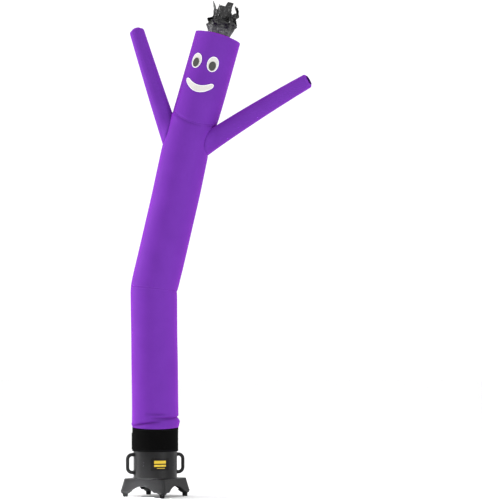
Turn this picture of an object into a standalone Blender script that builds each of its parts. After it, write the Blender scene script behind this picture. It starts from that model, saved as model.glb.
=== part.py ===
# Inflatable air dancer standing on its blower.
#
# A nylon tube with two sleeves and slit black hair is drawn over the neck of a moulded blower and held
# there by a black cuff. The tube is blown up: it stands straight, leans at the waist and again at the neck.
#
# Metres, +Z up. +X is to the viewer's right and -Y is the side that the dancer is looked at from.
# Azimuths are in degrees round a piece's own axis, 0 towards -Y and 90 towards +X.
# The whole part hangs on one empty, which puts the origin under the middle of the bounding box.

import math

import bmesh
import bpy
from mathutils import Matrix, Vector

GAP = 0.0003                 # between pieces that touch
CLOTH = 0.0011               # nylon, as thick as the thinnest sheet that is modelled
PATCH = 0.0010               # sewn-on eyes, pupils and mouth

# Blower: a barrel on a square deck with four arched sides
BARREL_RADIUS = 0.1085
BARREL_WALL = 0.0080
BEAD_RISE = 0.0034           # how far the two beads stand out of the barrel
LOWER_BEAD_Z = 0.2310
UPPER_BEAD_Z = 0.2627
RIM_Z = 0.2726
RIM_RISE = 0.0022
NOTCHES = 6
NOTCH_WIDTH = 0.012
NOTCH_DEPTH = 0.006
FLARE_RADIUS = 0.0068        # fillet where the barrel meets the deck
DECK_Z = 0.0920
SKIRT_Z = 0.0260             # lower edge of the skirt
DECK_HALF_SIDE = 0.1158
SKIRT_HALF_SIDE = 0.1302
SKIRT_CORNER = 0.018
SKIRT_WALL = 0.0080
ARCH_RADIUS = 0.0960
ARCH_TOP_Z = 0.0560
LEG_TIP_Z = 0.0125           # underside of the moulded leg, where the rubber foot starts
FOOT_REACH = 0.1520          # foot centre from the blower's axis
FOOT_TOP_RADIUS = 0.0110
FOOT_BOTTOM_RADIUS = 0.0086
BLOWER_TURN = 15.0           # the label looks this far to the viewer's right
BARREL_SIDES = 48

HANDLE_REACH = 0.1410        # handle centre line from the blower's axis
HANDLE_TUBE = 0.0086
HANDLE_HEIGHT = 0.0880       # between the centre lines of its two arms
HANDLE_MIDDLE_Z = 0.1650
HANDLE_CORNER = 0.0230

TAPE_THICKNESS = 0.0014
TAPE_LOW_Z = 0.2362
TAPE_HIGH_Z = 0.2575
LABEL_WIDTH = 0.095
LABEL_HEIGHT = 0.061
LABEL_THICKNESS = 0.0008
SCREW_AZIMUTHS = (-135.0, -45.0, 45.0, 135.0)
SCREW_SPACING = 0.0150
SCREW_RADIUS = 0.0030
SCREW_HEAD = 0.0014
LABEL_Z = 0.1650

# Cuff that is closed round the blower's neck
CUFF_LOW_Z = 0.2265
CUFF_HIGH_Z = 0.3440
CUFF_INNER = 0.1123
CUFF_THICKNESS = 0.0021
TAB_AZIMUTH = -97.0          # middle of the closing tab, on the viewer's left
TAB_WIDTH = 0.062
TAB_LOW_Z = 0.2340
TAB_HIGH_Z = 0.3160
TAB_THICKNESS = 0.0020
TAB_LIFT = 0.0022            # how far the tab's free end stands off the cuff

# Body tube: centre line and radius against height. The centre line lies in the XZ plane.
TUBE_SIDES = 32
TUBE_STATIONS = (
    # height, centre x, radius
    (0.3443, 0.0000, 0.1142),
    (0.3560, 0.0000, 0.1165),
    (0.4340, -0.0010, 0.1160),
    (0.7340, -0.0045, 0.1156),
    (0.9840, -0.0075, 0.1162),
    (1.0340, -0.0065, 0.1168),
    (1.0840, 0.0035, 0.1176),
    (1.1840, 0.0270, 0.1180),
    (1.4840, 0.0965, 0.1180),
    (1.7090, 0.1450, 0.1180),
    (1.7840, 0.1635, 0.1178),
    (1.8340, 0.1780, 0.1172),
    (1.8840, 0.1945, 0.1166),
    (1.9340, 0.2100, 0.1162),
    (2.1090, 0.2600, 0.1158),
    (2.2790, 0.3075, 0.1156),
    (2.2960, 0.3123, 0.1155),
)
TUBE_TOP = 2.2960
TOP_ROUND = 0.0040           # roll of the cloth into the head's top seam
WAIST_Z = 1.0340             # seam between the lower body and the torso, where the tube bends
NECK_Z = 1.8880              # seam between the torso and the head
NECK_DIP = 0.0280            # how much lower the seam runs on the front and back than at the sides
NECK_REACH = 0.1100          # the cloth beside the seam follows its dip this far
NECK_DEPTH = 0.0034
NECK_HALF_WIDTH = 0.0130

# Soft folds of the body tube: ridges have a negative depth
FOLDS = (
    # azimuth from, azimuth to, height from, height to, sag at the middle, depth, half width
    (-128.0, 32.0, 0.3545, 0.3815, 0.0040, 0.0052, 0.0075),
    (2.0, 128.0, 0.3960, 0.3990, -0.0080, 0.0060, 0.0070),
    (25.0, 150.0, 0.3700, 0.3760, 0.0000, -0.0062, 0.0130),
    (-150.0, -60.0, 0.3610, 0.3640, 0.0000, -0.0024, 0.0060),
    (-40.0, 70.0, 0.3530, 0.3570, 0.0000, -0.0022, 0.0070),
    (140.0, 250.0, 0.3600, 0.3900, -0.0040, 0.0045, 0.0080),
    (165.0, 235.0, 0.4070, 0.3950, 0.0040, 0.0030, 0.0080),
    (38.0, 142.0, 1.0330, 1.0330, 0.0000, 0.0058, 0.0130),
    (70.0, 108.0, 1.7280, 1.7280, 0.0000, 0.0022, 0.0080),
)

# Rows of the lower body, the torso and the head, closer together where the cloth is folded
LOWER_ROWS = (
    # height, number of equal steps up to it
    (0.3443, 0),
    (0.4243, 12),
    (0.9840, 2),
    (WAIST_Z - GAP / 2, 3),
)
TORSO_ROWS = (
    (WAIST_Z + GAP / 2, 0),
    (1.0840, 3),
    (1.7000, 2),
    (1.8400, 3),
    (NECK_Z - GAP / 2, 4),
)
HEAD_ROWS = (
    (NECK_Z + GAP / 2, 0),
    (NECK_Z + 0.0300, 3),
    (TUBE_TOP - 0.0300, 3),
    (TUBE_TOP - TOP_ROUND, 1),
)

# Arms: sleeves that start on the tube's axis and are trimmed where they leave it
ARM_SIDES = 24
ARMS = (
    # name, start height, tip x, tip y, tip z, root radius, tip radius, upward sag of the sleeve
    ("left", 1.6340, -0.0990, 0.0665, 2.3440, 0.0420, 0.0342, 0.000),
    ("right", 1.6840, 0.7600, -0.1820, 2.0570, 0.0515, 0.0338, 0.005),
)
ARM_ROWS = 9
ARM_END_ROUND = 0.0110       # roll of the sleeve into its end panel
VENT_RADIUS = 0.0190         # open vent in the middle of each arm end
END_PANEL_DOME = 0.0040

# Head top panel and hair
HEAD_VENT_RADIUS = 0.0500
HEAD_DOME = 0.0100
HAIR_RADIUS = 0.0560
HAIR_FLARE_RADIUS = 0.0650
HAIR_SLIT_HEIGHT = 0.0460    # the sleeve is whole up to here and slit above
HAIR_COLUMNS = 36
HAIR_PLEATS = 9
HAIR_PLEAT_DEPTH = 0.0028
HAIR_STRIPS = (
    # columns, then (distance from the axis, height) up the strip, then how far each edge is cut down
    (6, ((0.0560, 0.078), (0.0410, 0.108), (0.0330, 0.140), (0.0340, 0.178)), (0.0240, 0.0000)),
    (4, ((0.0690, 0.070), (0.0640, 0.096), (0.0500, 0.112), (0.0460, 0.128)), (0.0000, 0.0060)),
    (4, ((0.0640, 0.078), (0.0560, 0.104), (0.0660, 0.134), (0.0400, 0.176)), (0.0060, 0.0000)),
    (4, ((0.0690, 0.066), (0.0760, 0.088), (0.0640, 0.118), (0.0560, 0.140)), (0.0000, 0.0080)),
    (4, ((0.0600, 0.078), (0.0500, 0.108), (0.0420, 0.136), (0.0460, 0.162)), (0.0060, 0.0000)),
    (4, ((0.0700, 0.070), (0.0740, 0.096), (0.0600, 0.122), (0.0620, 0.146)), (0.0000, 0.0060)),
    (4, ((0.0580, 0.076), (0.0460, 0.108), (0.0420, 0.134), (0.0390, 0.164)), (0.0050, 0.0000)),
    (3, ((0.0730, 0.058), (0.0560, 0.078), (0.0430, 0.100), (0.0660, 0.168)), (0.0000, 0.0040)),
    (3, ((0.0640, 0.068), (0.0700, 0.086), (0.0600, 0.104), (0.0540, 0.120)), (0.0050, 0.0000)),
)
HAIR_FIRST_AZIMUTH = -30.0

# Face: sizes round the tube and down from the head's top edge
EYE_AZIMUTH = -13.6          # middle of the two eyes
EYE_SPREAD = 21.7            # each eye's azimuth from there
EYE_DROP = 0.150
EYE_HALF_WIDTH = 0.0312
EYE_HALF_HEIGHT = 0.0400
PUPIL_HALF_WIDTH = 0.0182
PUPIL_HALF_HEIGHT = 0.0232
PUPIL_DROP = 0.0095          # pupils sit this far below the middle of the eye
MOUTH_AZIMUTH = -12.8
MOUTH_HALF_WIDTH = 0.0740
MOUTH_TIP_DROP = 0.2470
MOUTH_TIP_HALF = 0.0095      # half the mouth's height at its rounded tips
MOUTH_UPPER_SAG = 0.0255
MOUTH_LOWER_SAG = 0.0420
PATCH_LIFT = 0.0007          # of a patch's underside off the tube's true round

COLOURS = {
    # sRGB colour, roughness
    "purple_nylon": ((0.478, 0.224, 0.706), 0.50),
    "black_cloth": ((0.070, 0.070, 0.075), 0.70),
    "hair_cloth": ((0.170, 0.170, 0.175), 0.45),
    "white_cloth": ((0.900, 0.895, 0.890), 0.60),
    "grey_cloth": ((0.330, 0.330, 0.320), 0.60),
    "moulded_plastic": ((0.225, 0.225, 0.228), 0.62),
    "rubber": ((0.110, 0.110, 0.112), 0.80),
    "hook_tape": ((0.090, 0.095, 0.100), 0.90),
    "label_film": ((0.060, 0.058, 0.060), 0.40),
    "zinc_screw": ((0.120, 0.120, 0.125), 0.40),
}


def clear_scene():
    for obj in list(bpy.data.objects):
        bpy.data.objects.remove(obj)


def to_linear(value):
    return value / 12.92 if value <= 0.04045 else ((value + 0.055) / 1.055) ** 2.4


def material(slot):
    found = bpy.data.materials.get(slot)
    if found:
        return found
    colour, roughness = COLOURS[slot]
    made = bpy.data.materials.new(slot)
    made.use_nodes = True
    shader = made.node_tree.nodes["Principled BSDF"]
    shader.inputs["Base Color"].default_value = (*(to_linear(c) for c in colour), 1.0)
    shader.inputs["Roughness"].default_value = roughness
    shader.inputs["Metallic"].default_value = 0.0
    return made


def add_object(name, data, slot, parent=None, collection="air_dancer"):
    """A new object with its material, parented, in the part's collection."""
    obj = bpy.data.objects.new(name, data)
    bpy.data.collections[collection].objects.link(obj)
    if slot:
        data.materials.append(material(slot))
    obj.parent = parent
    return obj


def add_cutter(name, data, parent=None):
    obj = add_object(name, data, None, parent, "cutters")
    obj.hide_render = True
    obj.display_type = "WIRE"
    return obj


def mesh_from(bm, name, smooth_angle=35.0):
    """The bmesh as mesh data, facing out and shaded smooth but for its sharp edges."""
    bmesh.ops.recalc_face_normals(bm, faces=bm.faces)
    data = bpy.data.meshes.new(name)
    bm.to_mesh(data)
    bm.free()
    data.shade_smooth()
    data.set_sharp_from_angle(angle=math.radians(smooth_angle))
    return data


def boolean(obj, cutter, operation="DIFFERENCE"):
    modifier = obj.modifiers.new(cutter.name, "BOOLEAN")
    modifier.operation = operation
    modifier.object = cutter
    modifier.solver = "EXACT"


def solidify(obj, thickness, offset=-1.0):
    modifier = obj.modifiers.new("cloth", "SOLIDIFY")
    modifier.thickness = thickness
    modifier.offset = offset
    modifier.use_even_offset = True


def spline_at(stations, height):
    """Columns after the first of a table, read at a height by a Catmull-Rom spline through its rows."""
    last = len(stations) - 1
    i = max(k for k in range(last) if stations[k][0] <= height or k == 0)
    share = (height - stations[i][0]) / (stations[i + 1][0] - stations[i][0])
    rows = [stations[min(max(k, 0), last)] for k in range(i - 1, i + 3)]
    found = []
    for column in range(1, len(stations[0])):
        before, start, end, after = (row[column] for row in rows)
        run = rows[2][0] - rows[1][0]
        slope_in = (end - before) / (rows[2][0] - rows[0][0]) * run
        slope_out = (after - start) / (rows[3][0] - rows[1][0]) * run
        found.append(
            (2 * share**3 - 3 * share**2 + 1) * start
            + (share**3 - 2 * share**2 + share) * slope_in
            + (3 * share**2 - 2 * share**3) * end
            + (share**3 - share**2) * slope_out
        )
    return found


def loft(bm, rings, closed_round=True, cap_start=False, cap_end=False):
    """Joins rings of equal length into a skin, going round if closed_round, with flat caps if asked."""
    rows = [[bm.verts.new(point) for point in ring] for ring in rings]
    count = len(rows[0])
    for low, high in zip(rows, rows[1:]):
        for i in range(count if closed_round else count - 1):
            j = (i + 1) % count
            bm.faces.new((low[i], low[j], high[j], high[i]))
    if cap_start:
        bm.faces.new(rows[0])
    if cap_end:
        bm.faces.new(rows[-1])
    return rows


def turn_profile(name, profile):
    """Mesh data of a closed profile of (radius, height) points, which run down its outer side."""
    data = bpy.data.meshes.new(name)
    points = [(radius, 0.0, height) for radius, height in profile]
    data.from_pydata(points, [(i, (i + 1) % len(points)) for i in range(len(points))], [])
    return data


def turn_round(obj):
    """Turns a profile round Z."""
    modifier = obj.modifiers.new("turn", "SCREW")
    modifier.steps = BARREL_SIDES
    modifier.render_steps = BARREL_SIDES
    modifier.use_merge_vertices = True
    modifier.merge_threshold = 0.00005


def cylinder_cutter(name, radius, depth, centre, along="Z", sides=48):
    bm = bmesh.new()
    bmesh.ops.create_cone(
        bm, cap_ends=True, segments=sides, radius1=radius, radius2=radius, depth=depth
    )
    turn = {
        "X": Matrix.Rotation(math.pi / 2, 4, "Y"),
        "Y": Matrix.Rotation(math.pi / 2, 4, "X"),
        "Z": Matrix.Identity(4),
    }[along]
    bmesh.ops.transform(bm, matrix=Matrix.Translation(centre) @ turn, verts=bm.verts)
    return mesh_from(bm, name)


def arc_points(centre, radius, start, end, steps):
    """Points (across, up) on an arc, angles in degrees."""
    found = []
    for i in range(steps + 1):
        angle = math.radians(start + (end - start) * i / steps)
        found.append((centre[0] + radius * math.cos(angle), centre[1] + radius * math.sin(angle)))
    return found


# Blower


def rounded_square(half_side, corner, height, steps=5):
    """The points of a square with round corners, seen from above, at one height."""
    inner = half_side - corner
    found = []
    for quarter in range(4):
        turn = 90.0 * quarter
        centre = Vector((inner, inner, 0.0))
        centre.rotate(Matrix.Rotation(math.radians(turn), 3, "Z"))
        for across, up in arc_points(centre.xy, corner, turn, turn + 90.0, steps):
            found.append(Vector((across, up, height)))
    return found


def skirt_block(name, inset=0.0, low=SKIRT_Z, high=DECK_Z, edge=0.004):
    """The deck and its flared skirt as one block. Inset takes a wall's thickness off its sides and top."""
    slope = (SKIRT_HALF_SIDE - DECK_HALF_SIDE) / (DECK_Z - SKIRT_Z)

    def half_side(height):
        return SKIRT_HALF_SIDE - slope * (height - SKIRT_Z) - inset

    corner = SKIRT_CORNER - inset * 0.5
    top = high - inset
    sections = [
        (half_side(low), corner, low),
        (half_side(top - edge), corner, top - edge),
        (half_side(top) - edge * 0.3, corner - edge * 0.3, top - edge * 0.3),
        (half_side(top) - edge, corner - edge, top),
    ]
    bm = bmesh.new()
    loft(bm, [rounded_square(*section) for section in sections], cap_start=True, cap_end=True)
    return mesh_from(bm, name)


# The moulding is drawn with its sides along X and Y: these are the directions of its four corners
CORNER_TURNS = [math.radians(45.0 + 90.0 * quarter) for quarter in range(4)]


def leg_tips(name):
    """Four chamfered blocks that close the bottoms of the legs, over the rubber feet."""
    bm = bmesh.new()
    for turn in CORNER_TURNS:
        centre = Vector((math.cos(turn), math.sin(turn), 0.0)) * FOOT_REACH
        rings = []
        for half_side, corner, height, shift in (
            (0.0145, 0.005, LEG_TIP_Z, 0.0),
            (0.0215, 0.008, SKIRT_Z - 0.003, 0.003),
            (0.0245, 0.009, SKIRT_Z + 0.006, 0.006),
        ):
            inward = centre.normalized() * -shift
            ring = [point + centre + inward for point in rounded_square(half_side, corner, height, 2)]
            rings.append(ring)
        loft(bm, rings, cap_start=True, cap_end=True)
    return mesh_from(bm, name)


def barrel_profile():
    """Closed outline of the barrel, down its outer side and up a plain inner one, as (radius, height)."""
    rim = BARREL_RADIUS + RIM_RISE
    profile = [(rim - 0.0010, RIM_Z), (rim, RIM_Z - 0.0010), (rim, UPPER_BEAD_Z + 0.0056)]
    for bead_z in (UPPER_BEAD_Z, LOWER_BEAD_Z):
        profile.append((BARREL_RADIUS, bead_z + 0.0042))
        for across, up in ((0.8, 0.0024), (1.0, 0.0), (0.8, -0.0024)):
            profile.append((BARREL_RADIUS + BEAD_RISE * across, bead_z + up))
        profile.append((BARREL_RADIUS, bead_z - 0.0042))
    flare = (BARREL_RADIUS + FLARE_RADIUS, DECK_Z + FLARE_RADIUS)
    profile += arc_points(flare, FLARE_RADIUS, 180.0, 270.0, 3)
    low = DECK_Z - 0.003
    inner = BARREL_RADIUS - BARREL_WALL - 0.010
    profile += [(BARREL_RADIUS + FLARE_RADIUS, low), (inner, low), (inner, RIM_Z)]
    return profile


def build_housing(blower):
    """Barrel, deck, skirt and legs: one hollow moulding, open above and below."""
    housing = add_object("blower_housing", skirt_block("blower_housing"), "moulded_plastic", blower)
    cavity = add_cutter("skirt_cavity", skirt_block("skirt_cavity", SKIRT_WALL, SKIRT_Z - 0.01), blower)
    tips = add_cutter("leg_tips", leg_tips("leg_tips"), blower)
    inner = BARREL_RADIUS - BARREL_WALL
    barrel = add_cutter("barrel_form", turn_profile("barrel_form", barrel_profile()), blower)
    turn_round(barrel)
    bore_data = cylinder_cutter("barrel_bore", inner, 0.4, Vector((0, 0, 0.2)), "Z", BARREL_SIDES)
    bore = add_cutter("barrel_bore", bore_data, blower)
    boolean(housing, cavity)
    boolean(housing, tips, "UNION")
    boolean(housing, barrel, "UNION")
    boolean(housing, bore)
    arch_centre = Vector((0.0, 0.0, ARCH_TOP_Z - ARCH_RADIUS))
    for along in ("X", "Y"):
        name = "arch_" + along.lower()
        data = cylinder_cutter(name, ARCH_RADIUS, 0.4, arch_centre, along, 40)
        boolean(housing, add_cutter(name, data, blower))
    bm = bmesh.new()
    for i in range(NOTCHES):
        azimuth = math.radians(-16.0 + 360.0 / NOTCHES * i + 45.0)
        middle = Vector((math.sin(azimuth), -math.cos(azimuth), 0.0)) * BARREL_RADIUS
        middle.z = RIM_Z
        place = Matrix.Translation(middle) @ Matrix.Rotation(azimuth, 4, "Z")
        size = Matrix.Diagonal((NOTCH_WIDTH, 0.030, 2 * NOTCH_DEPTH, 1.0))
        bmesh.ops.create_cube(bm, size=1.0, matrix=place @ size)
    boolean(housing, add_cutter("rim_notches", mesh_from(bm, "rim_notches"), blower))
    return housing


def build_feet(blower):
    for turn, name in zip(CORNER_TURNS, ("right", "back", "left", "front")):
        bm = bmesh.new()
        depth = LEG_TIP_Z - GAP
        bmesh.ops.create_cone(
            bm,
            cap_ends=True,
            segments=20,
            radius1=FOOT_BOTTOM_RADIUS,
            radius2=FOOT_TOP_RADIUS,
            depth=depth,
        )
        foot = add_object("foot_" + name, mesh_from(bm, "foot_" + name), "rubber", blower)
        reach = Vector((math.cos(turn), math.sin(turn), 0.0)) * FOOT_REACH
        foot.location = reach + Vector((0, 0, depth / 2))


def handle_path():
    """Centre line of a handle in the XZ plane, out of the barrel, down and back."""
    half = HANDLE_HEIGHT / 2
    start = BARREL_RADIUS - 0.004
    turn_x = HANDLE_REACH - HANDLE_CORNER
    upper = (turn_x, HANDLE_MIDDLE_Z + half - HANDLE_CORNER)
    lower = (turn_x, HANDLE_MIDDLE_Z - half + HANDLE_CORNER)
    path = [(start, HANDLE_MIDDLE_Z + half)]
    path += arc_points(upper, HANDLE_CORNER, 90.0, 0.0, 6)
    path += arc_points(lower, HANDLE_CORNER, 0.0, -90.0, 6)
    path.append((start, HANDLE_MIDDLE_Z - half))
    return path


def build_handles(blower):
    """Two round-tube grips over the left and right corners, trimmed to the barrel."""
    clearance = cylinder_cutter(
        "barrel_clearance", BARREL_RADIUS + GAP, 0.3, Vector((0, 0, 0.165)), "Z", BARREL_SIDES
    )
    cutter = add_cutter("barrel_clearance", clearance, blower)
    for side, turn in (("right", CORNER_TURNS[0]), ("left", CORNER_TURNS[2])):
        data = bpy.data.curves.new("handle_" + side, "CURVE")
        data.dimensions = "3D"
        data.bevel_depth = HANDLE_TUBE
        data.bevel_resolution = 2
        data.use_fill_caps = True
        path = handle_path()
        spline = data.splines.new("POLY")
        spline.points.add(len(path) - 1)
        for point, (across, up) in zip(spline.points, path):
            point.co = (across, 0.0, up, 1.0)
        curve = bpy.data.objects.new("handle_curve", data)
        bpy.context.scene.collection.objects.link(curve)
        graph = bpy.context.evaluated_depsgraph_get()
        mesh = bpy.data.meshes.new_from_object(curve.evaluated_get(graph))
        bpy.data.objects.remove(curve)
        bm = bmesh.new()
        bm.from_mesh(mesh)
        bmesh.ops.remove_doubles(bm, verts=bm.verts, dist=0.00005)
        bmesh.ops.transform(bm, matrix=Matrix.Rotation(turn, 4, "Z"), verts=bm.verts)
        name = "handle_" + side
        handle = add_object(name, mesh_from(bm, name), "moulded_plastic", blower)
        boolean(handle, cutter)


def wrapped_plate(name, radius, thickness, middle, half_width, low, high, columns, rows=1, lift=None):
    """A plate bent round Z, from its outline round the barrel. middle is an azimuth in degrees."""
    grids = []
    for depth in (0.0, thickness):
        grid = []
        for j in range(rows + 1):
            line = []
            for i in range(columns + 1):
                share = i / columns
                angle = math.radians(middle) + (2 * share - 1) * half_width / radius
                reach = radius + depth + (lift(share, j / rows) if lift else 0.0)
                height = low + (high - low) * j / rows
                line.append(Vector((reach * math.sin(angle), -reach * math.cos(angle), height)))
            grid.append(line)
        grids.append(grid)
    bm = bmesh.new()
    inner, outer = grids
    rings = [under + over[::-1] for under, over in zip(inner, outer)]
    loft(bm, rings, cap_start=True, cap_end=True)
    return mesh_from(bm, name)


def build_fittings(blower):
    """Hook tape between the beads, blank label over the front corner, and the motor's screws."""
    low, high = TAPE_LOW_Z, TAPE_HIGH_Z
    inner = BARREL_RADIUS + GAP
    outer = inner + TAPE_THICKNESS
    ring = [(outer, high), (outer, low), (inner, low), (inner, high)]
    turn_round(add_object("hook_tape", turn_profile("hook_tape", ring), "hook_tape", blower))
    label = wrapped_plate(
        "label",
        inner,
        LABEL_THICKNESS,
        45.0,
        LABEL_WIDTH / 2,
        LABEL_Z - LABEL_HEIGHT / 2,
        LABEL_Z + LABEL_HEIGHT / 2,
        12,
    )
    add_object("label", label, "label_film", blower)
    number = 0
    for azimuth in SCREW_AZIMUTHS:
        for side in (-0.5, 0.5):
            number += 1
            bm = bmesh.new()
            bmesh.ops.create_cone(
                bm,
                cap_ends=True,
                segments=12,
                radius1=SCREW_RADIUS,
                radius2=SCREW_RADIUS * 0.72,
                depth=SCREW_HEAD,
            )
            name = "screw_" + str(number)
            screw = add_object(name, mesh_from(bm, name), "zinc_screw", blower)
            turn = math.radians(azimuth + 45.0)
            outward = Vector((math.sin(turn), -math.cos(turn), 0.0))
            screw.rotation_euler = outward.to_track_quat("Z", "Y").to_euler()
            reach = outward * (BARREL_RADIUS + GAP + SCREW_HEAD / 2)
            screw.location = reach + Vector((0, 0, LABEL_Z + side * SCREW_SPACING))


# Cuff


def cuff_wave(azimuth, share):
    """Soft unevenness of the cuff's outer face, share being 0 at its foot and 1 at its top."""
    bulge = 0.0005 * math.sin(3 * azimuth + 0.6) + 0.0004 * math.sin(5 * azimuth + 2.0)
    return bulge * math.sin(math.pi * share)


def build_cuff(dancer):
    sides = 44
    height = CUFF_HIGH_Z - CUFF_LOW_Z
    rings = []
    outer = CUFF_INNER + CUFF_THICKNESS
    outer_rows = ((0.0, -0.0008), (0.03, 0.0), (0.35, 0.0), (0.65, 0.0), (0.97, 0.0), (1.0, -0.0008))
    for share, inset in outer_rows:
        ring = []
        for i in range(sides):
            angle = 2 * math.pi * i / sides
            reach = outer + inset + cuff_wave(angle, share)
            ring.append(Vector((reach * math.sin(angle), -reach * math.cos(angle), CUFF_LOW_Z + share * height)))
        rings.append(ring)
    for level in (CUFF_HIGH_Z, CUFF_LOW_Z):
        angles = [2 * math.pi * i / sides for i in range(sides)]
        rings.append([Vector((CUFF_INNER * math.sin(a), -CUFF_INNER * math.cos(a), level)) for a in angles])
    rings.append(rings[0])
    bm = bmesh.new()
    loft(bm, rings)
    bmesh.ops.remove_doubles(bm, verts=bm.verts, dist=0.00002)
    add_object("cuff", mesh_from(bm, "cuff"), "black_cloth", dancer)

    def lift(share, up):
        """The tab lies on the cuff at its sewn end and stands off it at its free end, at share 0."""
        free = max(0.0, 1.0 - share / 0.55)
        return TAB_LIFT * free**2 * (0.75 + 0.25 * math.cos(math.pi * (up - 0.5)))

    tab = wrapped_plate(
        "cuff_tab",
        outer + 0.0009 + GAP,
        TAB_THICKNESS,
        TAB_AZIMUTH,
        TAB_WIDTH / 2,
        TAB_LOW_Z,
        TAB_HIGH_Z,
        8,
        4,
        lift,
    )
    add_object("cuff_tab", tab, "black_cloth", dancer)


# Body tube


def tube_frame(height):
    """(centre, radius, across, up) of the tube at a height on its centre line."""
    centre_x, radius = spline_at(TUBE_STATIONS, height)
    step = 0.004
    low, high = max(height - step, TUBE_STATIONS[0][0]), min(height + step, TUBE_TOP)
    lean = (spline_at(TUBE_STATIONS, high)[0] - spline_at(TUBE_STATIONS, low)[0]) / (high - low)
    up = Vector((lean, 0.0, 1.0)).normalized()
    across = Vector((up.z, 0.0, -up.x))
    return Vector((centre_x, 0.0, height)), radius, across, up


def fold_relief(azimuth, height):
    """How far the folds draw the cloth in at a place on the tube. azimuth in degrees."""
    total = 0.0
    for start, end, low, high, sag, depth, half_width in FOLDS:
        along = ((azimuth - start) % 360.0) / (end - start)
        if not 0.0 < along < 1.0:
            continue
        middle = low + (high - low) * along + sag * 4 * along * (1 - along)
        fade = math.sin(math.pi * along) ** 0.6
        total += depth * fade * math.exp(-(((height - middle) / half_width) ** 2))
    return total


def neck_groove(azimuth, height):
    """How far the cloth is drawn in beside the neck seam, most on the front's left and by the right arm."""
    side = 0.7 + 0.3 * math.cos(math.radians(azimuth + 40.0))
    return NECK_DEPTH * side * math.exp(-abs((height - NECK_Z) / NECK_HALF_WIDTH) ** 1.5)


def tube_point(azimuth, height, outward=0.0, folded=True):
    """A point of the tube's outer face. Near the neck a ring dips with the seam on its front and back."""
    angle = math.radians(azimuth)
    dip = NECK_DIP * math.cos(angle) ** 2 * math.exp(-(((height - NECK_Z) / NECK_REACH) ** 2))
    centre, radius, across, _ = tube_frame(height - dip)
    drawn_in = fold_relief(azimuth, height) + neck_groove(azimuth, height) if folded else 0.0
    outwards = across * math.sin(angle) + Vector((0, -1, 0)) * math.cos(angle)
    return centre + outwards * (radius + outward - drawn_in)


def row_heights(rows):
    found = [rows[0][0]]
    for height, steps in rows[1:]:
        start = found[-1]
        found += [start + (height - start) * (k + 1) / steps for k in range(steps)]
    return found


def tube_rings(heights, outward=0.0):
    azimuths = [360.0 * i / TUBE_SIDES for i in range(TUBE_SIDES)]
    return [[tube_point(a, h, outward) for a in azimuths] for h in heights]


def top_rings(outward=0.0):
    """The last two rings of the head, where its cloth rolls inwards to the top seam."""
    rings = []
    for turn in (45.0, 80.0):
        drop = TOP_ROUND * (1 - math.sin(math.radians(turn)))
        inset = TOP_ROUND * (1 - math.cos(math.radians(turn)))
        rings += tube_rings([TUBE_TOP - drop], outward - inset)
    return rings


def build_tube(dancer):
    """Lower body, torso and head, three lengths of tube sewn end to end at the waist and the neck."""
    lengths = (
        ("lower_body", tube_rings(row_heights(LOWER_ROWS))),
        ("torso", tube_rings(row_heights(TORSO_ROWS))),
        ("head", tube_rings(row_heights(HEAD_ROWS)) + top_rings()),
    )
    for name, rings in lengths:
        bm = bmesh.new()
        loft(bm, rings)
        solidify(add_object(name, mesh_from(bm, name, 60.0), "purple_nylon", dancer), CLOTH)
    return bpy.data.objects["torso"]


# Arms


def arm_line(arm, share):
    """A point on a sleeve's centre line, 0 on the tube's axis and 1 at its tip."""
    _, start_height, tip_x, tip_y, tip_z, _, _, sag = arm
    start = tube_frame(start_height)[0]
    tip = Vector((tip_x, tip_y, tip_z))
    return start.lerp(tip, share) + Vector((0, 0, sag)) * 4 * share * (1 - share)


def arm_rings(arm, thinner=0.0, first=0.0):
    """Rings of a sleeve up to where it rolls into its end panel."""
    root_radius, tip_radius = arm[5:7]
    length = (arm_line(arm, 1.0) - arm_line(arm, 0.0)).length
    rounding = ARM_END_ROUND / length
    shares = [first + (1.0 - rounding - first) * k / ARM_ROWS for k in range(ARM_ROWS + 1)]
    rows = [(share, root_radius + (tip_radius - root_radius) * share) for share in shares]
    for turn in (30.0, 60.0, 82.0):
        inset = ARM_END_ROUND * (1 - math.cos(math.radians(turn)))
        rows.append((1.0 - rounding * (1 - math.sin(math.radians(turn))), tip_radius - inset))
    rings = []
    for share, radius in rows:
        ahead = arm_line(arm, min(share + 0.01, 1.0)) - arm_line(arm, share - 0.01)
        along = ahead.normalized()
        across = along.cross(Vector((0, 1, 0))).normalized()
        other = along.cross(across)
        centre = arm_line(arm, share)
        ring = []
        for i in range(ARM_SIDES):
            angle = 2 * math.pi * i / ARM_SIDES
            ring.append(centre + (across * math.cos(angle) + other * math.sin(angle)) * (radius - thinner))
        rings.append(ring)
    return rings


def build_arms(dancer, torso):
    """Two sleeves, trimmed to the tube with the torso open behind them, and their end panels."""
    heights = [h for h in row_heights(TORSO_ROWS) if h > 1.3] + row_heights(HEAD_ROWS)[1:]
    clearance_rings = tube_rings(heights, GAP) + top_rings(GAP)
    bm = bmesh.new()
    loft(bm, clearance_rings, cap_start=True, cap_end=True)
    clearance = add_cutter("body_clearance", mesh_from(bm, "body_clearance"), dancer)
    for arm in ARMS:
        name = "arm_" + arm[0]
        bm = bmesh.new()
        loft(bm, arm_rings(arm))
        sleeve = add_object(name, mesh_from(bm, name, 60.0), "purple_nylon", dancer)
        solidify(sleeve, CLOTH)
        boolean(sleeve, clearance)
        bm = bmesh.new()
        bore = arm_rings(arm, CLOTH + GAP, 0.02)
        loft(bm, bore[:ARM_ROWS - 2], cap_start=True, cap_end=True)
        boolean(torso, add_cutter(name + "_bore", mesh_from(bm, name + "_bore"), dancer))
        build_arm_end(dancer, arm)


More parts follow.
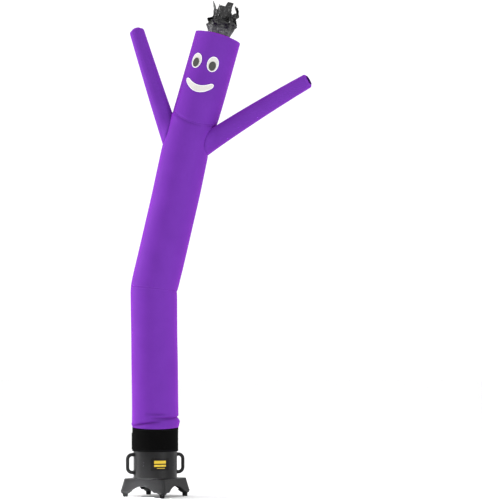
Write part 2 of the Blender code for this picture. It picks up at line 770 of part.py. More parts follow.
def build_arm_end(dancer, arm):
    """The round panel that closes a sleeve, slightly domed, with the vent in its middle."""
    last = arm_rings(arm)[-1]
    centre = sum(last, Vector()) / ARM_SIDES
    along = (arm_line(arm, 1.0) - arm_line(arm, 0.97)).normalized()
    edge = (last[0] - centre).length - CLOTH * 0.2 - GAP
    rings = []
    for share in (0.0, 0.5, 1.0):
        radius = edge + (VENT_RADIUS - edge) * share
        rise = END_PANEL_DOME * math.sin(math.pi / 2 * share)
        rings.append([centre + (p - centre).normalized() * radius + along * (rise + 0.0005) for p in last])
    bm = bmesh.new()
    loft(bm, rings)
    name = "arm_end_" + arm[0]
    panel = add_object(name, mesh_from(bm, name), "purple_nylon", dancer)
    solidify(panel, CLOTH)


# Head top and hair


def head_place():
    """The head's top seen from its own axis: X to the right, Y away from the viewer, Z up the axis."""
    centre, _, across, up = tube_frame(TUBE_TOP)
    return Matrix(
        (
            (across.x, 0.0, up.x, centre.x),
            (0.0, 1.0, 0.0, centre.y),
            (across.z, 0.0, up.z, centre.z),
            (0.0, 0.0, 0.0, 1.0),
        )
    )


def build_head_top(crown):
    """The round panel that closes the head, with the vent that the hair is sewn round."""
    edge = tube_frame(TUBE_TOP)[1] - TOP_ROUND * 0.83 - CLOTH * 0.3 - GAP
    rings = []
    for share in (0.0, 0.25, 0.6, 1.0):
        radius = edge + (HEAD_VENT_RADIUS - edge) * share
        rise = HEAD_DOME * math.sin(math.pi / 2 * share)
        angles = [2 * math.pi * i / TUBE_SIDES for i in range(TUBE_SIDES)]
        rings.append([Vector((radius * math.sin(a), -radius * math.cos(a), rise + 0.0004)) for a in angles])
    bm = bmesh.new()
    loft(bm, rings)
    panel = add_object("head_top", mesh_from(bm, "head_top"), "purple_nylon", crown)
    solidify(panel, CLOTH)


def hair_ring_point(column, share):
    """A point of the hair's whole, gathered foot, share 0 at the seam and 1 where the slits start."""
    angle = math.radians(HAIR_FIRST_AZIMUTH) + 2 * math.pi * column / HAIR_COLUMNS
    flare = HAIR_RADIUS + (HAIR_FLARE_RADIUS - HAIR_RADIUS) * share**1.5
    pleat = HAIR_PLEAT_DEPTH * math.cos(HAIR_PLEATS * angle) * math.sin(math.pi / 2 * share)
    reach = flare + pleat
    low = HEAD_DOME + CLOTH * 0.5 + GAP
    height = low + (HAIR_SLIT_HEIGHT - low) * share
    return Vector((reach * math.sin(angle), -reach * math.cos(angle), height))


def hair_strip_point(first, count, column, along, path, cuts):
    """A point above the slits: column counts from the strip's left edge, along from 0 at the slit to 1 at the end."""
    root = hair_ring_point(first + column, 1.0)
    middle = math.radians(HAIR_FIRST_AZIMUTH) + 2 * math.pi * (first + count / 2) / HAIR_COLUMNS
    outward = Vector((math.sin(middle), -math.cos(middle), 0.0))
    sideways = Vector((math.cos(middle), math.sin(middle), 0.0))
    place = along * len(path)
    k = min(int(place), len(path) - 1)
    share = place - k
    start = (root.dot(outward), HAIR_SLIT_HEIGHT) if k == 0 else path[k - 1]
    share = share * share * (3 - 2 * share) if k else share
    reach = start[0] + (path[k][0] - start[0]) * share
    height = start[1] + (path[k][1] - start[1]) * share
    aside = root.dot(sideways)
    crumple = 0.0022 * math.sin(2.4 * column + 5.0 * along + first) * math.sin(math.pi * min(along * 1.2, 1.0))
    across = min(max((column / count - 0.3) / 0.3, 0.0), 1.0)
    cut = cuts[0] + (cuts[1] - cuts[0]) * across
    point = outward * (reach + crumple * along) + sideways * aside
    point.z = height - cut * along**3
    return point


def build_hair(crown):
    """A gathered black sleeve round the head's vent, slit into strips that stand up in the air stream."""
    bm = bmesh.new()
    foot_rows = 4
    rings = [
        [hair_ring_point(i, k / (foot_rows - 1)) for i in range(HAIR_COLUMNS)] for k in range(foot_rows)
    ]
    slit_row = loft(bm, rings)[-1]
    first = 0
    strip_rows = 7
    for count, path, cuts in HAIR_STRIPS:
        below = [slit_row[(first + i) % HAIR_COLUMNS] for i in range(count + 1)]
        for row in range(1, strip_rows + 1):
            along = row / strip_rows
            points = [hair_strip_point(first, count, i, along, path, cuts) for i in range(count + 1)]
            above = [bm.verts.new(point) for point in points]
            for i in range(count):
                bm.faces.new((below[i], below[i + 1], above[i + 1], above[i]))
            below = above
        first += count
    hair = add_object("hair", mesh_from(bm, "hair", 60.0), "hair_cloth", crown)
    solidify(hair, CLOTH, 0.0)


# Face


def patch(name, slot, dancer, outline, azimuth, lift, columns):
    """A cloth patch on the face, its middle at an azimuth.

    outline(share) gives (distance round the tube from the azimuth, lower drop, upper drop).
    """
    bm = bmesh.new()
    under, over = [], []
    for i in range(columns + 1):
        around, low_drop, high_drop = outline(i / columns)
        for grid, outward in ((under, lift), (over, lift + PATCH)):
            line = []
            for k in range(5):
                drop = low_drop + (high_drop - low_drop) * k / 4
                height = TUBE_TOP - drop * tube_frame(TUBE_TOP - drop)[3].z
                radius = tube_frame(height)[1]
                turn = azimuth + math.degrees(around / radius)
                line.append(tube_point(turn, height, outward, False))
            grid.append(line)
    rings = [low + high[::-1] for low, high in zip(under, over)]
    loft(bm, rings, cap_start=True, cap_end=True)
    add_object(name, mesh_from(bm, name), slot, dancer)


def oval(drop, half_width, half_height):
    """Outline of an upright oval for patch(). Its left and right ends are cut off straight."""

    def outline(share):
        angle = math.radians(-78.0 + 156.0 * share)
        reach = half_height * math.cos(angle)
        return half_width * math.sin(angle), drop + reach, drop - reach

    return outline


def smile(share):
    """Outline of the mouth for patch(): two arcs that meet in round tips."""
    across = 2 * share - 1
    round_off = math.sqrt(max(0.0, 1 - ((abs(across) - 0.9) / 0.115) ** 2)) if abs(across) > 0.9 else 1.0
    upper = MOUTH_TIP_DROP + MOUTH_UPPER_SAG * (1 - across**2) - MOUTH_TIP_HALF * round_off
    lower = MOUTH_TIP_DROP + MOUTH_LOWER_SAG * (1 - across**2) ** 0.85 + MOUTH_TIP_HALF * round_off
    return MOUTH_HALF_WIDTH * across, lower, upper


def build_face(dancer):
    pupil_lift = PATCH_LIFT + PATCH + 0.0005
    eye = oval(EYE_DROP, EYE_HALF_WIDTH, EYE_HALF_HEIGHT)
    pupil = oval(EYE_DROP + PUPIL_DROP, PUPIL_HALF_WIDTH, PUPIL_HALF_HEIGHT)
    for side, azimuth in (("left", EYE_AZIMUTH - EYE_SPREAD), ("right", EYE_AZIMUTH + EYE_SPREAD)):
        patch("eye_" + side, "white_cloth", dancer, eye, azimuth, PATCH_LIFT, 12)
        patch("pupil_" + side, "grey_cloth", dancer, pupil, azimuth, pupil_lift, 10)
    patch("mouth", "white_cloth", dancer, smile, MOUTH_AZIMUTH, PATCH_LIFT, 22)


def centre_on_box(root):
    """Moves the root so that the origin lies under the middle of the part's bounding box."""
    bpy.context.view_layer.update()
    graph = bpy.context.evaluated_depsgraph_get()
    corners = []
    for obj in bpy.data.collections["air_dancer"].objects:
        if obj.type == "MESH":
            shown = obj.evaluated_get(graph)
            mesh = shown.to_mesh()
            corners += [shown.matrix_world @ vertex.co for vertex in mesh.vertices]
            shown.to_mesh_clear()
    for axis in (0, 1):
        values = [corner[axis] for corner in corners]
        root.location[axis] = -(min(values) + max(values)) / 2


def add_empty(name, parent=None):
    empty = bpy.data.objects.new(name, None)
    bpy.data.collections["air_dancer"].objects.link(empty)
    empty.parent = parent
    return empty


def main():
    clear_scene()
    for name in ("air_dancer", "cutters"):
        bpy.context.scene.collection.children.link(bpy.data.collections.new(name))
    root = add_empty("root")
    blower = add_empty("blower", root)
    # The moulding is drawn with its sides along X and Y, and stands with a corner to the front
    blower.rotation_euler.z = math.radians(BLOWER_TURN - 45.0)
    build_housing(blower)
    build_feet(blower)
    build_handles(blower)
    build_fittings(blower)
    dancer = add_empty("dancer", root)
    build_cuff(dancer)
    torso = build_tube(dancer)
    build_arms(dancer, torso)
    build_face(dancer)
    crown = add_empty("crown", dancer)
    crown.matrix_local = head_place()
    build_head_top(crown)
    build_hair(crown)
    centre_on_box(root)


main()
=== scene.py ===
# Looks of an inflatable air dancer that stands on its blower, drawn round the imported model.
#
# Metres, +Z up, and -Y is the side the photograph looks at. Meshes are drawn about the blower's upright axis,
# and their objects stand on it. An azimuth goes round a piece's own axis, 0 towards -Y and 90 degrees towards
# +X, and a turn goes round the blower's axis from +X.

import math

import bmesh
import bpy
from mathutils import Matrix, Vector, noise


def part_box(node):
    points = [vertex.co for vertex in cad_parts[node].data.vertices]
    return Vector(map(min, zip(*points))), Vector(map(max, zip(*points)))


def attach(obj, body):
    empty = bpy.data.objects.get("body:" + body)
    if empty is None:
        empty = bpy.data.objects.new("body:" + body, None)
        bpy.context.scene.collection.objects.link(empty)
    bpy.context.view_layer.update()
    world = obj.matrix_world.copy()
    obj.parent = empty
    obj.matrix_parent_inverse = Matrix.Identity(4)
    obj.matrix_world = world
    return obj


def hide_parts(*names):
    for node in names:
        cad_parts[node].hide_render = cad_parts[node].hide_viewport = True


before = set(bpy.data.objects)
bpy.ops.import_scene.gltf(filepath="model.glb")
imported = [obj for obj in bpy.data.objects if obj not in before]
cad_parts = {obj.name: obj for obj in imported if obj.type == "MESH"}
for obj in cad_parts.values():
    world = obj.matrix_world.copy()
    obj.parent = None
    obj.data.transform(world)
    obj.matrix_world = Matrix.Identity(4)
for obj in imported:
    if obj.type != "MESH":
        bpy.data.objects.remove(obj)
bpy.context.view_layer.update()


# Studio: a plain white floor and surround, a tall soft lamp on the viewer's left, a larger one on the right
# in front, a weak one behind it, and a narrow spot from above on the foot of the blower. The camera stands
# 11.4 m away and lower than the dancer's middle, so the tube's leaning top is seen a little from below.

def from_hex(code):
    """An sRGB hex colour as linear RGBA."""
    channels = [int(code[i:i + 2], 16) / 255 for i in (1, 3, 5)]
    return (*(c / 12.92 if c <= 0.04045 else ((c + 0.055) / 1.055) ** 2.4 for c in channels), 1.0)


def feed(tree, node, inputs):
    """Gives each named socket of a node its value, or the socket that feeds it."""
    for name, value in inputs.items():
        if isinstance(value, bpy.types.NodeSocket):
            tree.links.new(value, node.inputs[name])
        else:
            node.inputs[name].default_value = value


def add_node(tree, kind, inputs=None, **settings):
    """A new shader node with its settings and links."""
    node = tree.nodes.new("ShaderNode" + kind)
    for name, value in settings.items():
        setattr(node, name, value)
    feed(tree, node, inputs or {})
    return node


def start_material(name):
    """A new material, with its node tree and its shader."""
    material = bpy.data.materials.new(name)
    material.use_nodes = True
    return material, material.node_tree, material.node_tree.nodes["Principled BSDF"]


def painted_board():
    """Matt white paint on board: a faint roller stipple, 3 mm apart."""
    material, tree, shader = start_material("white_painted_board")
    place = add_node(tree, "TexCoord")
    stipple = add_node(tree, "TexNoise", {"Vector": place.outputs["Object"], "Scale": 330.0, "Detail": 2.0})
    bump = add_node(tree, "Bump", {"Strength": 0.05, "Distance": 0.0005, "Height": stipple.outputs["Fac"]})
    feed(tree, shader, {
        "Base Color": from_hex("#F2F2F2"), "Roughness": 0.8, "Normal": bump.outputs["Normal"]
    })
    return material


scene = bpy.context.scene
scene.view_settings.view_transform = "Standard"

floor_data = bpy.data.meshes.new("floor")
floor_data.from_pydata([(-30, -30, 0), (30, -30, 0), (30, 30, 0), (-30, 30, 0)], [], [(0, 1, 2, 3)])
floor_data.materials.append(painted_board())
floor = bpy.data.objects.new("floor", floor_data)
scene.collection.objects.link(floor)

scene.world = bpy.data.worlds.new("white_surround")
scene.world.use_nodes = True
surround = scene.world.node_tree.nodes["Background"]
surround.inputs["Color"].default_value = from_hex("#FFFFFF")
surround.inputs["Strength"].default_value = 1.12

LAMPS = (
    # name, place, what it points at, width, height, power in watts
    ("left_softbox", (-3.9, 0.7, 1.9), (0.0, 0.0, 1.2), 0.9, 2.8, 146.0),
    ("right_softbox", (2.6, 2.9, 1.5), (0.1, 0.0, 1.2), 0.6, 3.4, 1.0),
    ("front_softbox", (2.8, -3.3, 1.6), (0.1, 0.0, 1.1), 1.2, 3.0, 76.0),
    ("foot_spot", (-1.3, -1.7, 2.6), (-0.40, -0.12, 0.0), 0.08, 0.08, 1.4),
)
for name, place, target, width, height, power in LAMPS:
    lamp = bpy.data.lights.new(name, "AREA")
    lamp.shape = "RECTANGLE"
    lamp.size, lamp.size_y = width, height
    lamp.energy = power
    lamp.spread = math.radians(6.0 if name == "foot_spot" else 180.0)
    holder = bpy.data.objects.new(name, lamp)
    scene.collection.objects.link(holder)
    holder.location = place
    holder.rotation_euler = (Vector(target) - Vector(place)).to_track_quat("-Z", "Y").to_euler()

EYE = Vector((0.1255, -11.4, 0.80))
LOOKED_AT = Vector((0.1255, 0.0, 1.227))
VIEW_HEIGHT = 2.495          # of the picture, at the dancer
SENSOR_WIDTH = 36.0          # in millimetres
camera = bpy.data.objects.new("camera", bpy.data.cameras.new("camera"))
scene.collection.objects.link(camera)
camera.location = EYE
camera.rotation_euler = (LOOKED_AT - EYE).to_track_quat("-Z", "Y").to_euler()
camera.data.sensor_width = SENSOR_WIDTH
camera.data.lens = SENSOR_WIDTH * (LOOKED_AT - EYE).length / VIEW_HEIGHT
scene.camera = camera


# Blower moulding: barrel, square deck and arched skirt in one hollow shell of black polyethylene,
# rotationally moulded with an 8 mm wall. It stands with a corner to the front, turned 15 degrees to the
# viewer's right.

BARREL_RADIUS = 0.1085
WALL = 0.0080
DECK_Z = 0.0920
SKIRT_Z = 0.0260
DECK_HALF_SIDE = 0.1158
SKIRT_HALF_SIDE = 0.1302
SKIRT_CORNER = 0.0180
DECK_EDGE = 0.0052           # rounding of the deck's edge
FLARE = 0.0068               # fillet where the barrel meets the deck
ARCH_RADIUS = 0.0960
ARCH_TOP_Z = 0.0560
LIP = 0.0018                 # rounding of the skirt's lower edge
LOWER_BEAD_Z = 0.2310
UPPER_BEAD_Z = 0.2627
BEAD_RISE = 0.0034
BEAD_HALF_HEIGHT = 0.0042
RIM_Z = 0.2726
RIM_RISE = 0.0022
RIM_START = 0.0056           # above the middle of the upper bead
RIM_EDGE = 0.0012            # chamfer of the rim's edges
NOTCH_COUNT = 6              # cut into the rim
NOTCH_AZIMUTH = -1.0         # of the first one
NOTCH_WIDTH = 0.012
NOTCH_LENGTH = 0.030
NOTCH_DEPTH = 0.006
FOOT_REACH = 0.1520          # of a leg's tip and its rubber foot, from the axis
CORNER_TURNS = [math.radians(15.0 + 90.0 * quarter) for quarter in range(4)]
MOULDING_COLUMNS = 224

low_corner, high_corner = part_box("blower_housing")
AXIS = Vector(((low_corner[0] + high_corner[0]) / 2, (low_corner[1] + high_corner[1]) / 2, 0.0))


def skin(name, rows, wraps=True, closes=False, place=None):
    """Mesh data of rows of points. wraps joins a row's end to its start, closes the last row to the first.
    place(row, column) gives a corner's place on the flat cloth, in metres."""
    count = len(rows[0])
    faces, corners = [], []
    for j in range(len(rows) if closes else len(rows) - 1):
        for i in range(count if wraps else count - 1):
            steps = ((j, i), (j, i + 1), (j + 1, i + 1), (j + 1, i))
            faces.append([(row % len(rows)) * count + column % count for row, column in steps])
            corners += steps
    data = bpy.data.meshes.new(name)
    data.from_pydata([point for row in rows for point in row], [], faces)
    if place:
        layer = data.uv_layers.new(name="flat_cloth")
        for corner, step in enumerate(corners):
            layer.uv[corner].vector = place(*step)
    bm = bmesh.new()
    bm.from_mesh(data)
    bmesh.ops.remove_doubles(bm, verts=bm.verts, dist=1e-6)
    bmesh.ops.recalc_face_normals(bm, faces=bm.faces)
    bm.to_mesh(data)
    bm.free()
    data.shade_smooth()
    return data


def around(radius, azimuth, height):
    """The point at a distance from the upright axis, at an azimuth in radians and at a height."""
    return Vector((radius * math.sin(azimuth), -radius * math.cos(azimuth), height))


def add_modifier(obj, kind, **settings):
    modifier = obj.modifiers.new(kind.lower(), kind)
    for name, value in settings.items():
        setattr(modifier, name, value)


def cut(obj, cutter_data, operation="DIFFERENCE"):
    """Cuts a shape out of an object, or joins it on, for good."""
    cutter = bpy.data.objects.new("cutter", cutter_data)
    scene.collection.objects.link(cutter)
    cutter.location = obj.location
    add_modifier(obj, "BOOLEAN", object=cutter, operation=operation, solver="EXACT")
    graph = bpy.context.evaluated_depsgraph_get()
    made = bpy.data.meshes.new_from_object(obj.evaluated_get(graph))
    obj.modifiers.clear()
    obj.data = made
    bpy.data.objects.remove(cutter)


def add_piece(name, data, material, slot, *nodes):
    """A piece that stands on the blower's axis, rides with the part and shows in the place of CAD nodes."""
    data.materials.append(material)
    piece = bpy.data.objects.new(name, data)
    scene.collection.objects.link(piece)
    piece.location = AXIS
    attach(piece, "root")
    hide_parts(*nodes)
    return piece


def square_reach(half_side, corner, turn):
    """How far a round-cornered square reaches, at a turn of up to 45 degrees from the middle of a side."""
    along, aside = math.cos(turn), math.sin(abs(turn))
    inner = half_side - corner
    if half_side * aside / along <= inner:
        return half_side / along
    middle = (along + aside) * inner
    return middle + math.sqrt(middle**2 - 2 * inner**2 + corner**2)


def skirt_half_side(height):
    """Half the side of the square skirt, which widens evenly from the deck down."""
    return SKIRT_HALF_SIDE - (SKIRT_HALF_SIDE - DECK_HALF_SIDE) * (height - SKIRT_Z) / (DECK_Z - SKIRT_Z)


def moulding_section(direction):
    """The wall's section at a turn: (radius, height) points up its outer side and down its inner one."""
    turn = (direction - CORNER_TURNS[0]) % (math.pi / 2) - math.pi / 4
    aside = skirt_half_side(0.04) * math.tan(abs(turn))
    arch = ARCH_TOP_Z - ARCH_RADIUS + math.sqrt(max(ARCH_RADIUS**2 - aside**2, 0.0))
    low = (arch + SKIRT_Z + math.hypot(arch - SKIRT_Z, 0.004)) / 2
    points = []
    for k in range(11):
        height = low + LIP + (DECK_Z - DECK_EDGE - low - LIP) * k / 10
        points.append((square_reach(skirt_half_side(height), SKIRT_CORNER, turn), height))
    half_side = skirt_half_side(DECK_Z - DECK_EDGE)
    for angle in (22.5, 45.0, 67.5, 90.0):
        inset = DECK_EDGE * (1 - math.cos(math.radians(angle)))
        height = DECK_Z - DECK_EDGE * (1 - math.sin(math.radians(angle)))
        points.append((square_reach(half_side - inset, SKIRT_CORNER - inset, turn), height))
    edge = points[-1][0]
    wide = min(FLARE, edge - BARREL_RADIUS - 0.0006)
    points += [(edge + (BARREL_RADIUS + wide - edge) * k / 4, DECK_Z) for k in range(1, 4)]
    for angle in range(270, 179, -15):
        across = wide * (1 + math.cos(math.radians(angle)))
        points.append((BARREL_RADIUS + across, DECK_Z + FLARE * (1 + math.sin(math.radians(angle)))))
    for bead_z in (LOWER_BEAD_Z, UPPER_BEAD_Z):
        for angle in (-90, -60, -30, 0, 30, 60, 90):
            across = BEAD_RISE * math.cos(math.radians(angle))
            up = BEAD_HALF_HEIGHT * math.sin(math.radians(angle))
            points.append((BARREL_RADIUS + across, bead_z + up))
    rim, bore = BARREL_RADIUS + RIM_RISE, BARREL_RADIUS - WALL
    points += [(rim, UPPER_BEAD_Z + RIM_START), (rim, RIM_Z - RIM_EDGE), (rim - RIM_EDGE, RIM_Z)]
    points += [(bore + RIM_EDGE, RIM_Z), (bore, RIM_Z - RIM_EDGE), (bore, DECK_Z + 0.004)]
    under = DECK_Z - WALL
    points += [(bore + 0.0015, under + 0.0015), (bore + 0.005, under)]
    for down in (0.0, 0.0045):
        inner = skirt_half_side(under) - WALL - 0.0045 + down
        points.append((max(square_reach(inner, SKIRT_CORNER * 0.6, turn), bore + 0.0052), under - down))
    for k in range(8):
        height = under - 0.010 + (low + LIP - under + 0.010) * k / 7
        points.append((square_reach(skirt_half_side(height) - WALL, SKIRT_CORNER * 0.6, turn), height))
    for inset in (WALL - LIP, LIP):
        points.append((square_reach(skirt_half_side(low) - inset, SKIRT_CORNER - inset * 0.6, turn), low))
    return points


def round_square_ring(half_side, corner, height, centre, turn):
    """A ring of 40 points round a leg tip."""
    ring = []
    for k in range(40):
        angle = math.radians(9.0 * k)
        side = (angle + math.pi / 4) % (math.pi / 2) - math.pi / 4
        reach = square_reach(half_side, corner, side)
        ring.append(Vector((reach * math.cos(angle + turn), reach * math.sin(angle + turn), height)) + centre)
    return ring


def leg_tip(turn):
    """The chamfered block that closes the bottom of a leg, over its rubber foot."""
    centre = Vector((math.cos(turn), math.sin(turn), 0.0)) * FOOT_REACH
    rings = []
    for half_side, corner, height, shift in (
        (0.0000, 0.0000, 0.0177, 0.0),
        (0.0140, 0.0054, 0.0177, 0.0),
        (0.0152, 0.0060, 0.0188, 0.0002),
        (0.0180, 0.0072, 0.0218, 0.0016),
        (0.0213, 0.0085, 0.0256, 0.0032),
        (0.0232, 0.0095, 0.0288, 0.0050),
        (0.0245, 0.0100, 0.0340, 0.0064),
        (0.0000, 0.0000, 0.0340, 0.0064),
    ):
        inward = centre.normalized() * -shift
        rings.append(round_square_ring(half_side, corner, height, centre + inward, turn + math.pi / 4))
    return skin("leg_tip", rings)


def moulded_polyethylene():
    """Black polyethylene, rotationally moulded: a matt skin with the mould's leathery grain, 1.3 mm across,
    that breaks the light into specks, and paler where its edges have been scuffed."""
    material, tree, shader = start_material("black_polyethylene_moulded")
    place = add_node(tree, "TexCoord").outputs["Object"]
    grain = add_node(tree, "TexVoronoi", {"Vector": place, "Scale": 760.0}, feature="SMOOTH_F1")
    pits = add_node(tree, "TexNoise", {"Vector": place, "Scale": 1900.0, "Detail": 1.0})
    depth = grain.outputs["Distance"]
    height = add_node(tree, "Math", {0: pits.outputs["Fac"], 1: depth}, operation="SUBTRACT")
    bump = add_node(tree, "Bump", {"Strength": 0.55, "Distance": 0.0004, "Height": height.outputs[0]})
    cloud = add_node(tree, "TexNoise", {"Vector": place, "Scale": 14.0, "Detail": 4.0})
    mottle = add_node(tree, "MapRange", {"Value": cloud.outputs["Fac"], "From Min": 0.3, "From Max": 0.7})
    plain = add_node(
        tree, "Mix", {0: mottle.outputs[0], 6: from_hex("#101011"), 7: from_hex("#161617")}, data_type="RGBA"
    )
    edges = add_node(tree, "NewGeometry").outputs["Pointiness"]
    worn = add_node(tree, "MapRange", {"Value": edges, "From Min": 0.53, "From Max": 0.62, "To Max": 0.55})
    colour = add_node(
        tree, "Mix", {0: worn.outputs[0], 6: plain.outputs[2], 7: from_hex("#343436")}, data_type="RGBA"
    )
    rough = add_node(tree, "MapRange", {"Value": pits.outputs["Fac"], "To Min": 0.30, "To Max": 0.42})
    feed(tree, shader, {
        "Base Color": colour.outputs[2], "Roughness": rough.outputs[0], "Normal": bump.outputs["Normal"],
        "IOR": 1.51, "Specular IOR Level": 0.17,
    })
    return material


polyethylene = moulded_polyethylene()
sections = []
for i in range(MOULDING_COLUMNS):
    turn = 2 * math.pi * i / MOULDING_COLUMNS
    sections.append([Vector((r * math.cos(turn), r * math.sin(turn), z)) for r, z in moulding_section(turn)])
moulding = add_piece(
    "blower_moulding", skin("blower_moulding", sections, closes=True), polyethylene,
    "moulded_plastic", "blower_housing",
)
for turn in CORNER_TURNS:
    cut(moulding, leg_tip(turn), "UNION")
for k in range(NOTCH_COUNT):
    azimuth = math.radians(NOTCH_AZIMUTH + 360.0 / NOTCH_COUNT * k)
    place = Matrix.Translation(around(BARREL_RADIUS, azimuth, RIM_Z)) @ Matrix.Rotation(azimuth, 4, "Z")
    size = Matrix.Diagonal((NOTCH_WIDTH, NOTCH_LENGTH, 2 * NOTCH_DEPTH, 1.0))
    bm = bmesh.new()
    bmesh.ops.create_cube(bm, size=1.0, matrix=place @ size)
    notch = bpy.data.meshes.new("notch")
    bm.to_mesh(notch)
    bm.free()
    cut(moulding, notch)
moulding.data.shade_smooth()
moulding.data.set_sharp_from_angle(angle=math.radians(40.0))


# Rubber feet: four tapered plugs of black rubber, pressed into the leg tips. Their soles are worn round.

FOOT_PROFILE = (
    # radius, height
    (0.0000, 0.0000), (0.0102, 0.0000), (0.0112, 0.0004), (0.0118, 0.0014), (0.0123, 0.0060),
    (0.0127, 0.0110), (0.0132, 0.0124), (0.0135, 0.0134), (0.0135, 0.0168), (0.0129, 0.0174),
    (0.0000, 0.0174),
)


def turned(name, profile, columns=48):
    """Mesh data of a profile of (radius, height) points turned round Z."""
    angles = [2 * math.pi * i / columns for i in range(columns)]
    return skin(name, [[Vector((r * math.cos(a), r * math.sin(a), z)) for a in angles] for r, z in profile])


def pressed_rubber():
    """Black natural rubber, pressed: dull, with a dusty bloom that greys it unevenly."""
    material, tree, shader = start_material("black_rubber_pressed")
    place = add_node(tree, "TexCoord").outputs["Object"]
    bloom = add_node(tree, "TexNoise", {"Vector": place, "Scale": 120.0, "Detail": 5.0})
    colour = add_node(tree, "Mix", {
        0: bloom.outputs["Fac"], 6: from_hex("#060607"), 7: from_hex("#101011")
    }, data_type="RGBA")
    bump = add_node(tree, "Bump", {"Strength": 0.3, "Distance": 0.0003, "Height": bloom.outputs["Fac"]})
    feed(tree, shader, {
        "Base Color": colour.outputs[2], "Normal": bump.outputs["Normal"], "Roughness": 0.82,
        "Specular IOR Level": 0.15,
    })
    return material


rubber = pressed_rubber()
for turn, name in zip(CORNER_TURNS, ("right", "back", "left", "front")):
    foot = turned("rubber_foot_" + name, FOOT_PROFILE)
    foot.transform(Matrix.Translation((FOOT_REACH * math.cos(turn), FOOT_REACH * math.sin(turn), 0.0)))
    add_piece("rubber_foot_" + name, foot, rubber, "rubber", "foot_" + name)


# Handles: two grips of the same polyethylene, round in section, that swell where they run into the barrel.

HANDLE_REACH = 0.1410
HANDLE_TUBE = 0.0086
HANDLE_HEIGHT = 0.0880
HANDLE_MIDDLE_Z = 0.1650
HANDLE_CORNER = 0.0230


def capped(rings):
    """Rings with a point at each end, which makes a closed solid of them."""
    ends = [[sum(ring, Vector()) / len(ring)] * len(ring) for ring in (rings[0], rings[-1])]
    return [ends[0]] + rings + [ends[1]]


def handle_rows():
    """Rings round a handle's centre line, out of the barrel, down and back."""
    half = HANDLE_HEIGHT / 2
    turn_x = HANDLE_REACH - HANDLE_CORNER
    start = BARREL_RADIUS + 0.0003
    path = [(start + (turn_x - start) * k / 5, half) for k in range(5)]
    for k in range(13):
        angle = math.radians(90.0 - 7.5 * k)
        drop = HANDLE_CORNER * (1 - math.sin(angle))
        path.append((turn_x + HANDLE_CORNER * math.cos(angle), half - drop))
    path += [(HANDLE_REACH, 0.012), (HANDLE_REACH, 0.0)]
    path += [(x, -z) for x, z in path[-2::-1]]
    rows = []
    for k, (x, z) in enumerate(path):
        before, after = path[max(k - 1, 0)], path[min(k + 1, len(path) - 1)]
        along = Vector((after[0] - before[0], 0.0, after[1] - before[1])).normalized()
        if k in (0, len(path) - 1):
            along = Vector((1.0 if k == 0 else -1.0, 0.0, 0.0))
        outward = Vector((along.z, 0.0, -along.x))
        swell = 1.0 + 0.30 * math.exp(-((x - start) / 0.0042) ** 2)
        ring = []
        for i in range(28):
            angle = 2 * math.pi * i / 28
            side = (outward * math.cos(angle) + Vector((0, 1, 0)) * math.sin(angle)) * HANDLE_TUBE * swell
            ring.append(Vector((x, 0.0, z + HANDLE_MIDDLE_Z)) + side)
        rows.append(ring)
    for ring in (rows[0], rows[-1]):
        for point in ring:
            point.x = math.sqrt(start**2 - point.y**2)
    return rows


for side, turn in (("right", CORNER_TURNS[0]), ("left", CORNER_TURNS[2])):
    grip = skin("grip_" + side, capped(handle_rows()))
    grip.transform(Matrix.Rotation(turn, 4, "Z"))
    add_piece("grip_" + side, grip, polyethylene, "moulded_plastic", "handle_" + side)


# Hook tape: a ribbed band of woven nylon hooks, glued round the neck between the two beads.

TAPE_RADIUS = BARREL_RADIUS + 0.0003
TAPE_LOW_Z = 0.2362
TAPE_HIGH_Z = 0.2575
TAPE_COLUMNS = 96
BAND_SPACING = 0.314         # metres between the bands of a wave texture of scale 1


def woven_hooks():
    """Black nylon hook tape, woven: upright ribs 1.5 mm apart with a fuzz of hooks that eats the light."""
    material, tree, shader = start_material("black_nylon_hook_tape_woven")
    flat = add_node(tree, "UVMap").outputs[0]
    ribs = add_node(tree, "TexWave", {"Vector": flat, "Scale": BAND_SPACING / 0.0015, "Distortion": 0.6})
    hooks = add_node(tree, "TexNoise", {"Vector": flat, "Scale": 1400.0, "Detail": 2.0})
    height = add_node(tree, "Math", {0: ribs.outputs["Fac"], 1: hooks.outputs["Fac"]}, operation="ADD")
    bump = add_node(tree, "Bump", {"Strength": 0.8, "Distance": 0.0006, "Height": height.outputs[0]})
    colour = add_node(tree, "Mix", {
        0: ribs.outputs["Fac"], 6: from_hex("#0C0E10"), 7: from_hex("#1D2226")
    }, data_type="RGBA")
    feed(tree, shader, {
        "Base Color": colour.outputs[2], "Normal": bump.outputs["Normal"], "Roughness": 0.92
    })
    return material


tape_rows = []
for rise, height in (
    (0.0000, TAPE_LOW_Z), (0.0012, TAPE_LOW_Z), (0.0014, TAPE_LOW_Z + 0.0006),
    (0.0014, TAPE_HIGH_Z - 0.0006), (0.0012, TAPE_HIGH_Z), (0.0000, TAPE_HIGH_Z),
):
    tape_rows.append([
        around(TAPE_RADIUS + rise, 2 * math.pi * i / TAPE_COLUMNS, height) for i in range(TAPE_COLUMNS)
    ])
tape = skin("neck_hook_tape", tape_rows, closes=True, place=lambda row, column: (
    0.11 * 2 * math.pi * column / TAPE_COLUMNS, TAPE_LOW_Z + 0.004 * row
))
tape_piece = add_piece("neck_hook_tape", tape, woven_hooks(), "hook_tape", "hook_tape")


# Label: a sheet of black polyester film, glued over the barrel above its front corner. It is printed with
# plain yellow bars.

LABEL_WIDTH = 0.095
LABEL_HEIGHT = 0.061
LABEL_Z = 0.1650
LABEL_AZIMUTH = 15.0
LABEL_THICKNESS = 0.0008
LABEL_COLUMNS = 40
LABEL_ROWS = 12
LABEL_BARS = (
    # middle across, middle up, half width, half height
    (0.000, 0.0105, 0.0300, 0.0072),
    (0.000, -0.0070, 0.0300, 0.0048),
    (0.004, -0.0195, 0.0200, 0.0014),
)


